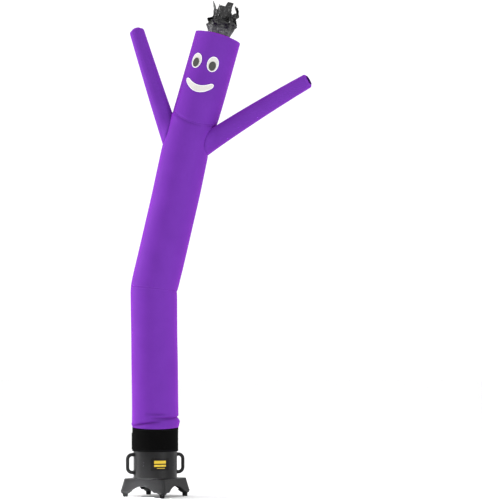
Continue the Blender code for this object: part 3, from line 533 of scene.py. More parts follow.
def printed_film():
    """Black polyester film, printed and laminated: smooth, with the moulding's grain just showing through.
    Three bars in yellow ink, their edges softened 0.4 mm by the print."""
    material, tree, shader = start_material("black_polyester_film_printed")
    across, up, _ = add_node(tree, "SeparateXYZ", {0: add_node(tree, "UVMap").outputs[0]}).outputs
    ink = 0.0
    for middle_x, middle_y, half_x, half_y in LABEL_BARS:
        past = []
        for socket, middle, half in ((across, middle_x, half_x), (up, middle_y, half_y)):
            away = add_node(tree, "Math", {0: socket, 1: middle}, operation="SUBTRACT")
            size = add_node(tree, "Math", {0: away.outputs[0]}, operation="ABSOLUTE")
            past.append(add_node(tree, "Math", {0: size.outputs[0], 1: half}, operation="SUBTRACT"))
        gap = add_node(tree, "Math", {0: past[0].outputs[0], 1: past[1].outputs[0]}, operation="MAXIMUM")
        bar = add_node(tree, "MapRange", {"Value": gap.outputs[0], "From Min": 0.0002, "From Max": -0.0002})
        ink = add_node(tree, "Math", {0: bar.outputs[0], 1: ink}, operation="ADD").outputs[0]
    colour = add_node(tree, "Mix", {0: ink, 6: from_hex("#0A0909"), 7: from_hex("#C4A833")}, data_type="RGBA")
    place = add_node(tree, "TexCoord").outputs["Object"]
    grain = add_node(tree, "TexNoise", {"Vector": place, "Scale": 520.0})
    bump = add_node(tree, "Bump", {"Strength": 0.12, "Distance": 0.0003, "Height": grain.outputs["Fac"]})
    feed(tree, shader, {
        "Base Color": colour.outputs[2], "Normal": bump.outputs["Normal"], "Roughness": 0.4, "IOR": 1.57,
        "Specular IOR Level": 0.12,
    })
    return material


def wrapped_rows(radius, azimuth, width, low, high, columns, rows, relief=None):
    """Rows of points of a plate that lies round Z. relief(across, up) lifts it, both going from 0 to 1."""
    found = []
    for j in range(rows + 1):
        row = []
        for i in range(columns + 1):
            across, up = i / columns, j / rows
            angle = math.radians(azimuth) + (across - 0.5) * width / radius
            reach = radius + (relief(across, up) if relief else 0.0)
            row.append(around(reach, angle, low + (high - low) * up))
        found.append(row)
    return found


label_rows = wrapped_rows(
    TAPE_RADIUS + LABEL_THICKNESS, LABEL_AZIMUTH, LABEL_WIDTH, LABEL_Z - LABEL_HEIGHT / 2,
    LABEL_Z + LABEL_HEIGHT / 2, LABEL_COLUMNS, LABEL_ROWS,
)
label = skin("film_label", label_rows, wraps=False, place=lambda row, column: (
    LABEL_WIDTH * (column / LABEL_COLUMNS - 0.5), LABEL_HEIGHT * (row / LABEL_ROWS - 0.5)
))
label_piece = add_piece("film_label", label, printed_film(), "label_film", "label")
add_modifier(label_piece, "SOLIDIFY", thickness=LABEL_THICKNESS, offset=-1.0)
add_modifier(label_piece, "BEVEL", width=0.0003, segments=2)


# Motor screws: four pairs of blackened steel pan heads, cold formed with a cross recess and driven through
# the barrel's wall.

SCREW_SPACING = 0.0150
SCREW_TURN = 37.0            # from one recess to the next, as they happened to be driven


def blackened_steel():
    """Cold-rolled steel, blackened with oxide: a dark metal that still mirrors the lamps softly."""
    material, tree, shader = start_material("blackened_steel")
    place = add_node(tree, "TexCoord").outputs["Object"]
    wear = add_node(tree, "TexNoise", {"Vector": place, "Scale": 900.0, "Detail": 3.0})
    colour = add_node(tree, "Mix", {
        0: wear.outputs["Fac"], 6: from_hex("#1A1A1C"), 7: from_hex("#4A4A4E")
    }, data_type="RGBA")
    rough = add_node(tree, "MapRange", {"Value": wear.outputs["Fac"], "To Min": 0.28, "To Max": 0.5})
    feed(tree, shader, {"Base Color": colour.outputs[2], "Roughness": rough.outputs[0], "Metallic": 1.0})
    return material


def pan_head():
    """A domed head 6 mm across, its recess cross-shaped."""
    rows = []
    for radius, height, cross in (
        (0.0000, 0.0000, 0.0), (0.0030, 0.0000, 0.0), (0.0030, 0.0005, 0.0), (0.0027, 0.0010, 0.0),
        (0.0021, 0.0013, 0.0), (0.0016, 0.0014, 1.0), (0.0013, 0.0006, 1.0), (0.0000, 0.0005, 0.0),
    ):
        ring = []
        for i in range(40):
            angle = 2 * math.pi * i / 40
            arm = 1 - cross * 0.62 * (1 - abs(math.cos(2 * angle)) ** 3)
            ring.append(Vector((radius * arm * math.cos(angle), radius * arm * math.sin(angle), height)))
        rows.append(ring)
    return skin("pan_head", rows)


steel = blackened_steel()
number = 0
for azimuth in (-120.0, -30.0, 60.0, 150.0):
    for side in (-0.5, 0.5):
        number += 1
        outward = around(1.0, math.radians(azimuth), 0.0)
        place = outward * (BARREL_RADIUS + 0.0003) + Vector((0, 0, LABEL_Z + side * SCREW_SPACING))
        screw = pan_head()
        facing = outward.to_track_quat("Z", "Y").to_matrix().to_4x4()
        spin = Matrix.Rotation(math.radians(SCREW_TURN * number), 4, "Z")
        screw.transform(Matrix.Translation(place) @ facing @ spin)
        add_piece(f"motor_screw_{number}", screw, steel, "zinc_screw", f"screw_{number}")


# Lower body: a panel of purple nylon, sewn up into a tube 0.23 m across and 0.69 m long, and blown up.
# It stands upright, and its cloth is creased where it is drawn in above the cuff.

CLOTH = 0.0011
GAP = 0.0003
SEAM = 0.0001                # between two sewn edges
FLAT_RADIUS = 0.1165         # of the tube that the flat panels make
FULL_SHADE_FOLD = 0.0090           # how deep a crease is where its painted shade is full
TUBE_LOW_Z = 0.3443
WAIST_Z = 1.0340
TUBE_TOP = 2.2960
TUBE_STATIONS = (
    # height, centre x, radius
    (TUBE_LOW_Z, 0.0000, 0.1142),
    (0.3560, 0.0000, 0.1165),
    (0.4340, -0.0010, 0.1160),
    (0.7340, -0.0045, 0.1156),
    (0.9840, -0.0075, 0.1162),
    (WAIST_Z, -0.0065, 0.1168),
    (1.0840, 0.0035, 0.1176),
    (1.1840, 0.0270, 0.1180),
    (1.4840, 0.0965, 0.1180),
    (1.7090, 0.1450, 0.1180),
    (1.7840, 0.1635, 0.1178),
    (1.8340, 0.1780, 0.1172),
    (1.8840, 0.1945, 0.1166),
    (1.9340, 0.2100, 0.1162),
    (2.1090, 0.2600, 0.1158),
    (2.2790, 0.3075, 0.1156),
    (TUBE_TOP, 0.3123, 0.1155),
)
NECK_Z = 1.8880
NECK_DIP = 0.0280            # how much lower the neck seam runs on the front and back than at the sides
NECK_REACH = 0.1100
NECK_DEPTH = 0.0017
NECK_HALF_WIDTH = 0.0130
FOLDS = (
    # azimuth from, to, height from, to, sag at the middle, depth (a ridge is negative), half width
    (-76.0, 18.0, 0.3500, 0.3740, 0.0040, 0.0115, 0.0060),
    (-12.0, 128.0, 0.3930, 0.4000, -0.0050, 0.0108, 0.0056),
    (25.0, 150.0, 0.3700, 0.3760, 0.0000, -0.0062, 0.0130),
    (-14.0, 60.0, 0.3800, 0.3830, 0.0020, 0.0040, 0.0042),
    (-150.0, -60.0, 0.3610, 0.3640, 0.0000, -0.0024, 0.0060),
    (-40.0, 70.0, 0.3530, 0.3570, 0.0000, -0.0022, 0.0070),
    (140.0, 250.0, 0.3600, 0.3900, -0.0040, 0.0045, 0.0080),
    (165.0, 235.0, 0.4070, 0.3950, 0.0040, 0.0030, 0.0080),
    (-24.0, 30.0, 0.4180, 0.4130, -0.0020, 0.0040, 0.0050),
    (-26.0, 44.0, 0.4075, 0.4090, 0.0010, 0.0030, 0.0044),
    (38.0, 142.0, 1.0330, 1.0330, 0.0000, 0.0030, 0.0170),
    (70.0, 108.0, 1.7280, 1.7280, 0.0000, 0.0022, 0.0080),
    (-54.0, 26.0, 1.8850, 1.8790, 0.0000, 0.0042, 0.0058),
    (-96.0, -28.0, 1.8730, 1.8660, 0.0030, -0.0026, 0.0100),
    (30.0, 104.0, 1.8840, 1.8730, 0.0000, 0.0050, 0.0070),
    (-60.0, 30.0, 1.8960, 1.9020, 0.0020, -0.0014, 0.0090),
)
LOWER_ROWS = ((TUBE_LOW_Z, 0), (0.4400, 48), (0.9800, 36), (WAIST_Z - SEAM / 2, 14))
TUBE_COLUMNS = 120


def row_heights(rows):
    """Heights of rows, from (height, number of equal steps up to it)."""
    found = [rows[0][0]]
    for height, steps in rows[1:]:
        start = found[-1]
        found += [start + (height - start) * (k + 1) / steps for k in range(steps)]
    return found


def station_at(height):
    """(centre x, radius) of the tube at a height, on a smooth curve through the stations."""
    last = len(TUBE_STATIONS) - 1
    i = max(k for k in range(last) if TUBE_STATIONS[k][0] <= height or k == 0)
    rows = [TUBE_STATIONS[min(max(k, 0), last)] for k in range(i - 1, i + 3)]
    run = rows[2][0] - rows[1][0]
    share = (height - rows[1][0]) / run
    found = []
    for column in (1, 2):
        before, start, end, after = (row[column] for row in rows)
        slope_in = (end - before) / (rows[2][0] - rows[0][0]) * run
        slope_out = (after - start) / (rows[3][0] - rows[1][0]) * run
        found.append(
            (2 * share**3 - 3 * share**2 + 1) * start + (share**3 - 2 * share**2 + share) * slope_in
            + (3 * share**2 - 2 * share**3) * end + (share**3 - share**2) * slope_out
        )
    return found


def tube_frame(height):
    """(centre, radius, across, up) of the tube at a height on its centre line."""
    centre_x, radius = station_at(height)
    low, high = max(height - 0.004, TUBE_LOW_Z), min(height + 0.004, TUBE_TOP)
    lean = (station_at(high)[0] - station_at(low)[0]) / (high - low)
    up = Vector((lean, 0.0, 1.0)).normalized()
    return Vector((centre_x, 0.0, height)), radius, Vector((up.z, 0.0, -up.x)), up


def folded_in(azimuth, height):
    """How far the creases and the neck seam draw the tube's face in."""
    side = 0.7 + 0.3 * math.cos(math.radians(azimuth + 40.0))
    total = NECK_DEPTH * side * math.exp(-abs((height - NECK_Z) / NECK_HALF_WIDTH) ** 1.5)
    for start, end, low, high, sag, depth, half_width in FOLDS:
        along = ((azimuth - start) % 360.0) / (end - start)
        if 0.0 < along < 1.0:
            middle = low + (high - low) * along + sag * 4 * along * (1 - along)
            fade = math.sin(math.pi * along) ** 0.6
            above = (height - middle) / half_width
            total += depth * fade * math.exp(-(abs(above * (1.5 if above > 0 else 0.75)) ** 1.5))
    return total


def drawn_in(azimuth, height):
    """How far the creases, the neck seam and the slack of the cloth draw the tube's face in."""
    turn = math.radians(azimuth)
    slack = noise.noise(Vector((1.6 * math.sin(turn), 1.6 * math.cos(turn), 5.0 * height)))
    strain = noise.noise(Vector((9.0 * math.sin(turn), 9.0 * math.cos(turn), 3.0 * height + 7.0)))
    near_cuff = math.exp(-max(height - 0.36, 0.0) / 0.05)
    return folded_in(azimuth, height) + 0.0013 * slack + (0.00025 + 0.0012 * near_cuff) * strain


def foot_sag(angle):
    """How much lower the edge between the tube and its cuff hangs at the front than at the sides."""
    return 0.0065 * max(math.cos(angle), 0.0) ** 1.5


def tube_point(azimuth, height, outward=0.0):
    """A point of the tube's outer face. Near the neck a row dips with the seam on its front and back."""
    angle = math.radians(azimuth)
    dip = NECK_DIP * math.cos(angle) ** 2 * math.exp(-(((height - NECK_Z) / NECK_REACH) ** 2))
    centre, radius, across, _ = tube_frame(height - dip)
    outwards = across * math.sin(angle) + Vector((0, -1, 0)) * math.cos(angle)
    centre.z -= foot_sag(angle) * max(1 - (height - TUBE_LOW_Z) / 0.02, 0.0)
    return centre + outwards * (radius + outward - drawn_in(azimuth, height))


def stitches(tree, flat, from_edge, distance, spacing, gap, full):
    """Sewing thread along an edge, at a distance from it: 1 on a stitch and 0 beside it."""
    wave = add_node(tree, "TexWave", {"Vector": flat, "Scale": BAND_SPACING / spacing}, bands_direction="X")
    dash = add_node(tree, "MapRange", {"Value": wave.outputs["Fac"], "From Min": gap, "From Max": full})
    line = add_node(tree, "Math", {0: from_edge, 1: distance}, operation="SUBTRACT")
    line = add_node(tree, "Math", {0: line.outputs[0]}, operation="ABSOLUTE")
    line = add_node(tree, "MapRange", {
        "Value": line.outputs[0], "From Min": 0.0003, "From Max": 0.0007, "To Min": 1.0, "To Max": 0.0
    })
    return add_node(tree, "Math", {0: dash.outputs[0], 1: line.outputs[0]}, operation="MULTIPLY").outputs[0]


def relief(tree, layers):
    """The height of a surface, from sockets laid over each other, each times its share."""
    height = 0.0
    for socket, share in layers:
        height = add_node(tree, "Math", {0: socket, 1: share, 2: height}, operation="MULTIPLY_ADD").outputs[0]
    return height


def woven_nylon(name, face, shade, crease_shade, thread, roughness, gloss, sheen, sheen_tint):
    """Lightweight ripstop nylon, woven and calendered: smooth, with a soft silky sheen that turns brighter
    and richer towards grazing light. Its 0.3 mm threads are drawn 0.9 mm apart so that they show, with the
    heavier ripstop threads every 6 mm. Along a seam run stitches, and the cloth puckers. In the creases its
    colour is darkened towards a deeper purple: painted shade."""
    material, tree, shader = start_material(name)
    flat = add_node(tree, "UVMap").outputs[0]
    from_seam = add_node(tree, "SeparateXYZ", {0: flat}).outputs[1]
    threads = []
    for spacing in (0.0009, 0.0060):
        for direction in ("X", "Y"):
            inputs = {"Vector": flat, "Scale": BAND_SPACING / spacing}
            threads.append(add_node(tree, "TexWave", inputs, bands_direction=direction).outputs["Fac"])
    weave = add_node(tree, "Math", {0: threads[0], 1: threads[1]}, operation="MULTIPLY")
    heavy = [
        add_node(tree, "MapRange", {"Value": thread, "From Min": 0.955, "From Max": 1.0})
        for thread in threads[2:]
    ]
    ripstop = add_node(tree, "Math", {0: heavy[0].outputs[0], 1: heavy[1].outputs[0]}, operation="MAXIMUM")
    sewn = stitches(tree, flat, from_seam, 0.0045, 0.0042, 0.12, 0.30)
    place = add_node(tree, "TexCoord").outputs["Object"]
    soft = add_node(tree, "TexNoise", {"Vector": place, "Scale": 9.0, "Detail": 3.0})
    pucker = add_node(tree, "TexNoise", {"Vector": flat, "Scale": 75.0, "Detail": 1.0})
    near = add_node(tree, "MapRange", {
        "Value": from_seam, "From Min": 0.0, "From Max": 0.022, "To Min": 1.0, "To Max": 0.0
    })
    puckered = add_node(tree, "Math", {0: pucker.outputs["Fac"], 1: near.outputs[0]}, operation="MULTIPLY")
    height = relief(tree, (
        (weave.outputs[0], 0.10), (ripstop.outputs[0], 0.15), (sewn, 0.9), (puckered.outputs[0], 1.6)
    ))
    bump = add_node(tree, "Bump", {"Strength": 0.5, "Distance": 0.0006, "Height": height})
    cloudy = add_node(tree, "MapRange", {"Value": soft.outputs["Fac"], "From Min": 0.3, "From Max": 0.7})
    colour = add_node(
        tree, "Mix", {0: cloudy.outputs[0], 6: from_hex(face), 7: from_hex(shade)}, data_type="RGBA"
    )
    # Painted shade: the colour is darkened towards the deeper purple in the creases, by how deep each one is.
    painted_shade = add_node(tree, "Attribute", attribute_name="painted_crease_shade")
    crease_shade_share = add_node(tree, "Math", {0: painted_shade.outputs["Fac"], 1: 0.7}, operation="MULTIPLY")
    colour = add_node(
        tree, "Mix", {0: crease_shade_share.outputs[0], 6: colour.outputs[2], 7: from_hex(crease_shade)}, data_type="RGBA"
    )
    threaded = add_node(tree, "Math", {0: sewn, 1: 0.8}, operation="MULTIPLY")
    colour = add_node(
        tree, "Mix", {0: threaded.outputs[0], 6: colour.outputs[2], 7: from_hex(thread)}, data_type="RGBA"
    )
    rough = add_node(tree, "MapRange", {
        "Value": weave.outputs[0], "To Min": roughness - 0.05, "To Max": roughness + 0.05
    })
    feed(tree, shader, {
        "Base Color": colour.outputs[2], "Roughness": rough.outputs[0], "Normal": bump.outputs["Normal"],
        "IOR": 1.53, "Specular IOR Level": gloss, "Sheen Weight": sheen, "Sheen Roughness": 0.5,
        "Sheen Tint": from_hex(sheen_tint),
    })
    return material


def sewn_tube(name, heights, seams, columns, roll=()):
    """Mesh data of a length of the body tube. seams are the heights of its sewn edges, and roll turns its
    last rows inwards, each given as (drop below the top, inset)."""
    azimuths = [360.0 * i / columns for i in range(columns)]
    rows = [[tube_point(a, h) for a in azimuths] for h in heights]
    rows += [[tube_point(a, TUBE_TOP - drop, -inset) for a in azimuths] for drop, inset in roll]
    heights = list(heights) + [TUBE_TOP - drop for drop, _ in roll]
    data = skin(name, rows, place=lambda row, column: (
        2 * math.pi * FLAT_RADIUS * column / columns, min(abs(heights[row] - seam) for seam in seams)
    ))
    # Painted shade: how far each point lies in a crease, which darkens the cloth's colour there.
    painted_shade = data.attributes.new("painted_crease_shade", "FLOAT", "POINT")
    painted_shade.data.foreach_set("value", [
        min(max(folded_in(a, h) / FULL_SHADE_FOLD, 0.0), 1.0) for h in heights for a in azimuths
    ])
    return data


# The deeper purple is painted shade for the creases.
nylon = woven_nylon(
    "purple_nylon_ripstop_woven", face="#632E96", shade="#5E2B90", crease_shade="#45206A", thread="#7440AC",
    roughness=0.6, gloss=0.03, sheen=0.55, sheen_tint="#C818FF",
)
lower_body = add_piece(
    "lower_body_panel",
    sewn_tube("lower_body_panel", row_heights(LOWER_ROWS), (TUBE_LOW_Z, WAIST_Z), TUBE_COLUMNS),
    nylon, "purple_nylon", "lower_body",
)
add_modifier(lower_body, "SOLIDIFY", thickness=CLOTH, offset=-1.0)


# Torso: a longer panel of the same nylon, sewn up and joined to the lower body at the waist, where the
# dancer bends. It leans to the viewer's right and carries both sleeves.

TORSO_ROWS = ((WAIST_Z + SEAM / 2, 0), (1.0900, 14), (1.6900, 42), (1.8400, 36), (NECK_Z - SEAM / 2, 22))
torso_heights = row_heights(TORSO_ROWS)
torso = add_piece(
    "torso_panel", sewn_tube("torso_panel", torso_heights, (WAIST_Z, NECK_Z), TUBE_COLUMNS),
    nylon, "purple_nylon", "torso",
)
add_modifier(torso, "SOLIDIFY", thickness=CLOTH, offset=-1.0)


# Head: a shorter panel of the same nylon, sewn up and joined to the torso at the neck.
# Its top edge rolls over into the seam of the round panel that closes it.

TOP_ROUND = 0.0040
HEAD_ROWS = (
    (NECK_Z + SEAM / 2, 0), (NECK_Z + 0.0500, 24), (TUBE_TOP - 0.0300, 28), (TUBE_TOP - TOP_ROUND, 8)
)
TOP_ROLL = [
    (TOP_ROUND * (1 - math.sin(math.radians(turn))), TOP_ROUND * (1 - math.cos(math.radians(turn))))
    for turn in (22.5, 45.0, 65.0, 80.0)
]
head_heights = row_heights(HEAD_ROWS)
head = add_piece(
    "head_panel", sewn_tube("head_panel", head_heights, (NECK_Z, TUBE_TOP), TUBE_COLUMNS, TOP_ROLL),
    nylon, "purple_nylon", "head",
)
add_modifier(head, "SOLIDIFY", thickness=CLOTH, offset=-1.0)


# Head top: the round panel of nylon that closes the head, domed by the air, with a vent in its middle.

HEAD_VENT_RADIUS = 0.0500
HEAD_DOME = 0.0100
HEAD_TOP_COLUMNS = 96
HEAD_TOP_ROWS = 14


def head_place():
    """The head's top seen from its own axis: X to the right, Y away from the viewer, Z up the axis."""
    centre, _, across, up = tube_frame(TUBE_TOP)
    return Matrix((
        (across.x, 0.0, up.x, centre.x),
        (0.0, 1.0, 0.0, centre.y),
        (across.z, 0.0, up.z, centre.z),
        (0.0, 0.0, 0.0, 1.0),
    ))


top_edge = tube_frame(TUBE_TOP)[1] - TOP_ROUND * 0.83 - CLOTH * 0.3 - GAP
top_shares = [k / HEAD_TOP_ROWS for k in range(HEAD_TOP_ROWS + 1)]
top_rows = []
for share in top_shares:
    row = []
    for i in range(HEAD_TOP_COLUMNS):
        angle = 2 * math.pi * i / HEAD_TOP_COLUMNS
        gather = 0.0008 * math.sin(19 * angle) * share**2
        gather += 0.0006 * math.sin(31 * angle + 1) * (1 - share) ** 4
        reach = top_edge + (HEAD_VENT_RADIUS - top_edge) * share
        rise = HEAD_DOME * math.sin(math.pi / 2 * share) + 0.0004 + gather
        row.append(head_place() @ around(reach, angle, rise))
    top_rows.append(row)
head_top = skin("head_top_panel", top_rows, place=lambda row, column: (
    0.5 * column / HEAD_TOP_COLUMNS, (top_edge - HEAD_VENT_RADIUS) * min(top_shares[row], 1 - top_shares[row])
))
head_top_piece = add_piece("head_top_panel", head_top, nylon, "purple_nylon", "head_top")
add_modifier(head_top_piece, "SOLIDIFY", thickness=CLOTH, offset=-1.0)


# Arms: two tapered sleeves of the nylon, sewn into the torso and blown up with it. The left one stands up
# and leans back, the right one reaches out and a little forwards.

ARM_COLUMNS = 72
ARM_END_ROUND = 0.0110       # rounding of a sleeve's end
ROOT_FILLET = 0.0140         # how far the cloth stands off a sleeve at its root
ROOT_REACH = 0.0400          # how far out of the torso it does
ARMS = (
    # name, start height, how far before the tube's axis it starts, tip, root radius, tip radius, and its bow
    # off a straight line
    ("left", 1.6340, -0.0060, (-0.1006, 0.0665, 2.3400), 0.0525, 0.0370, (-0.0030, -0.0140, 0.0000)),
    ("right", 1.6840, -0.0200, (0.7600, -0.1820, 2.0585), 0.0550, 0.0360, (0.0000, 0.0000, 0.0095)),
)


def arm_line(arm, share):
    """A point on a sleeve's centre line, 0 on the tube's axis and 1 at its tip."""
    _, start_height, forwards, tip, _, _, bow = arm
    start = tube_frame(start_height)[0] - Vector((0, forwards, 0))
    return start.lerp(Vector(tip), share) + Vector(bow) * 4 * share * (1 - share)


def root_fillet(point, outwards):
    """How far the cloth's front and back stand off a plain sleeve where it runs out of the torso."""
    centre, radius, _, up = tube_frame(min(max(point.z, 1.5), TUBE_TOP))
    from_axis = point - centre
    from_axis -= up * from_axis.dot(up)
    past = max(from_axis.length - radius, 0.0) / ROOT_REACH
    if past >= 1.0:
        return 0.0
    return ROOT_FILLET * outwards.y**2 * (1.0 - past) ** 2


def arm_rings(arm, thinner=0.0, first=0.0, steps=120, slack=1.0):
    """(share, ring) rows of a sleeve up to where it rolls into its end panel."""
    root_radius, tip_radius = arm[4:6]
    length = (arm_line(arm, 1.0) - arm_line(arm, 0.0)).length
    rounding = ARM_END_ROUND / length
    shares = [first + (1.0 - rounding - first) * (k / steps) ** 1.35 for k in range(steps + 1)]
    rows = [(share, root_radius + (tip_radius - root_radius) * share) for share in shares]
    for turn in (15.0, 30.0, 45.0, 60.0, 72.0, 82.0):
        inset = ARM_END_ROUND * (1 - math.cos(math.radians(turn)))
        rows.append((1.0 - rounding * (1 - math.sin(math.radians(turn))), tip_radius - inset))
    found = []
    for share, radius in rows:
        along = (arm_line(arm, min(share + 0.01, 1.0)) - arm_line(arm, share - 0.01)).normalized()
        across = along.cross(Vector((0, 1, 0))).normalized()
        other = along.cross(across)
        ring = []
        for i in range(ARM_COLUMNS):
            angle = 2 * math.pi * i / ARM_COLUMNS
            near_root = math.exp(-max(share - 0.17, 0.0) * length / 0.05)
            wrinkle = noise.noise(Vector((4 * math.sin(angle), 4 * math.cos(angle), 4 * share * length)))
            gather = noise.noise(Vector((9 * math.sin(angle), 9 * math.cos(angle), 6 * share * length)))
            soft = slack * (0.0007 * wrinkle + (0.0002 + 0.0016 * near_root) * gather)
            outwards = across * math.cos(angle) + other * math.sin(angle)
            reach = radius - thinner + soft
            reach += slack * root_fillet(arm_line(arm, share) + outwards * reach, outwards)
            ring.append(arm_line(arm, share) + outwards * reach)
        found.append((share, ring))
    return found


coarse = [h for h in torso_heights[::3] if h > 1.45] + head_heights[2::3]
azimuths = [360.0 * i / TUBE_COLUMNS for i in range(TUBE_COLUMNS)]
body_form = [[tube_point(a, h, -0.0002) for a in azimuths] for h in coarse]
for arm in ARMS:
    length = (arm_line(arm, 1.0) - arm_line(arm, 0.0)).length
    rings = arm_rings(arm, first=0.06)
    shares = [share for share, _ in rings]
    sleeve = skin("sleeve_" + arm[0], [ring for _, ring in rings], place=lambda row, column: (
        0.24 * column / ARM_COLUMNS, (1.0 - shares[row]) * length
    ))
    piece = add_piece("sleeve_" + arm[0], sleeve, nylon, "purple_nylon", "arm_" + arm[0])
    add_modifier(piece, "SOLIDIFY", thickness=CLOTH, offset=-1.0)
    cut(piece, skin("body_form", capped(body_form)))
    bore = [ring for _, ring in arm_rings(arm, CLOTH + GAP, 0.02, 40, 0.0)][:32]
    cut(torso, skin("bore", capped(bore)))


# Arm ends: round panels of the nylon that close the sleeves, each with an open, hemmed vent in its middle
# where the air gets out.

END_PANEL_ROWS = 8
END_PANEL_LIFT = 0.0005      # of its edge above the sleeve's rolled end

for arm, vent_radius, dome, area in zip(ARMS, (0.0140, 0.0250), (0.0085, 0.0022), (0.0021, 0.0009)):
    last = arm_rings(arm, slack=0.0)[-1][1]
    centre = sum(last, Vector()) / len(last)
    along = (arm_line(arm, 1.0) - arm_line(arm, 0.97)).normalized()
    edge = (last[0] - centre).length - CLOTH * 0.2 - GAP
    rows = []
    for k in range(END_PANEL_ROWS + 1):
        share = k / END_PANEL_ROWS
        reach = edge + (vent_radius - edge) * share
        rise = dome * math.sin(math.pi / 2 * share) + END_PANEL_LIFT
        rows.append([centre + (point - centre).normalized() * reach + along * rise for point in last])
    for inset, drop in ((0.0006, 0.0008), (0.0, 0.0016)):
        reach, rise = vent_radius - inset, dome + END_PANEL_LIFT - drop
        rows.append([centre + (point - centre).normalized() * reach + along * rise for point in last])
    panel = skin("sleeve_end_" + arm[0], rows, place=lambda row, column: (
        0.15 * column / ARM_COLUMNS,
        (edge - vent_radius) * min(row / END_PANEL_ROWS, abs(1 - row / END_PANEL_ROWS)),
    ))
    piece = add_piece("sleeve_end_" + arm[0], panel, nylon, "purple_nylon", "arm_end_" + arm[0])
    add_modifier(piece, "SOLIDIFY", thickness=CLOTH, offset=-1.0)


# Face: white eyes and mouth and grey pupils, cut from cotton twill and sewn on with a satin stitch all round.
# The face looks to the viewer's left, and the mouth is a plain crescent with round tips.

EYE_AZIMUTH = -13.6          # middle of the two eyes
EYE_SPREAD = 21.7
EYE_DROP = 0.1515            # down the head from its top edge
EYE_HALF_WIDTH = 0.0286
EYE_HALF_HEIGHT = 0.0384
PUPIL_HALF_WIDTH = 0.0170
PUPIL_HALF_HEIGHT = 0.0232
PUPIL_DROP = 0.0095
MOUTH_AZIMUTH = -12.8
MOUTH_HALF_WIDTH = 0.0740
MOUTH_TIP_DROP = 0.2470
MOUTH_SAG = 0.0338
MOUTH_END_HALF = 0.0102      # half its height near the tips, and more by MOUTH_SWELL at its middle
MOUTH_SWELL = 0.0056
MOUTH_TIP_SHARE = 0.15       # of half its width, which is rounded off
PATCH = 0.0010               # thickness of a patch
PATCH_LIFT = 0.0007
PUPIL_LIFT = 0.0022
SATIN_WIDTH = 0.0028         # of the stitch round each patch
SATIN_RISE = 0.0008


def cotton_twill(name, colour, satin):
    """Cotton twill, woven and starched: matt, with a fine diagonal rib, drawn 1.2 mm apart. The satin stitch
    round it is a raised cord of brighter rayon thread laid across the edge."""
    material, tree, shader = start_material(name)
    flat = add_node(tree, "UVMap").outputs[0]
    from_edge = add_node(tree, "SeparateXYZ", {0: flat}).outputs[1]
    place = add_node(tree, "TexCoord").outputs["Object"]
    rib = add_node(
        tree, "TexWave", {"Vector": place, "Scale": BAND_SPACING / 0.0012}, bands_direction="DIAGONAL"
    )
    fuzz = add_node(tree, "TexNoise", {"Vector": place, "Scale": 420.0, "Detail": 3.0})
    threads = add_node(tree, "TexWave", {"Vector": flat, "Scale": BAND_SPACING / 0.0010}, bands_direction="X")
    edge = add_node(tree, "MapRange", {
        "Value": from_edge, "From Min": SATIN_WIDTH - 0.0002, "From Max": SATIN_WIDTH + 0.0002,
        "To Min": 1.0, "To Max": 0.0,
    })
    height = add_node(
        tree, "Mix", {0: edge.outputs[0], 2: rib.outputs["Fac"], 3: threads.outputs["Fac"]}, data_type="FLOAT"
    )
    height = add_node(tree, "Math", {0: height.outputs[0], 1: fuzz.outputs["Fac"]}, operation="ADD")
    bump = add_node(tree, "Bump", {"Strength": 0.35, "Distance": 0.0004, "Height": height.outputs[0]})
    dusty = add_node(tree, "TexNoise", {"Vector": place, "Scale": 40.0, "Detail": 3.0})
    cloth = add_node(tree, "Mix", {
        0: dusty.outputs["Fac"], 6: from_hex(colour), 7: tuple(c * 0.9 for c in from_hex(colour)[:3]) + (1.0,)
    }, data_type="RGBA")
    paint = add_node(
        tree, "Mix", {0: edge.outputs[0], 6: cloth.outputs[2], 7: from_hex(satin)}, data_type="RGBA"
    )
    rough = add_node(tree, "MapRange", {"Value": edge.outputs[0], "To Min": 0.8, "To Max": 0.45})
    feed(tree, shader, {
        "Base Color": paint.outputs[2], "Roughness": rough.outputs[0], "Normal": bump.outputs["Normal"],
        "Specular IOR Level": 0.2,
    })
    return material


def oval(drop, half_width, half_height):
    """Outline of an upright oval: its lower and its upper point, each as the distance round the tube and the
    drop from the head's top edge, for a share across."""

    def outline(share):
        angle = math.pi * (share - 0.5)
        reach = half_height * math.cos(angle)
        return [(half_width * math.sin(angle), drop + side * reach) for side in (1, -1)]

    return outline


def smile(share):
    """Outline of the mouth: a band that hangs in a curve, fuller in its middle, with round tips."""
    across = math.sin(math.pi * (share - 0.5))
    past = max((abs(across) - 1 + MOUTH_TIP_SHARE) / MOUTH_TIP_SHARE, 0.0)
    half = (MOUTH_END_HALF + MOUTH_SWELL * (1 - across**2)) * math.sqrt(max(1 - past**2, 0.0))
    slope = -2 * MOUTH_SAG * across / MOUTH_HALF_WIDTH
    stretch = math.hypot(1.0, slope)
    middle = MOUTH_TIP_DROP + MOUTH_SAG * (1 - across**2)
    return [
        (MOUTH_HALF_WIDTH * across - side * half * slope / stretch, middle + side * half / stretch)
        for side in (1, -1)
    ]


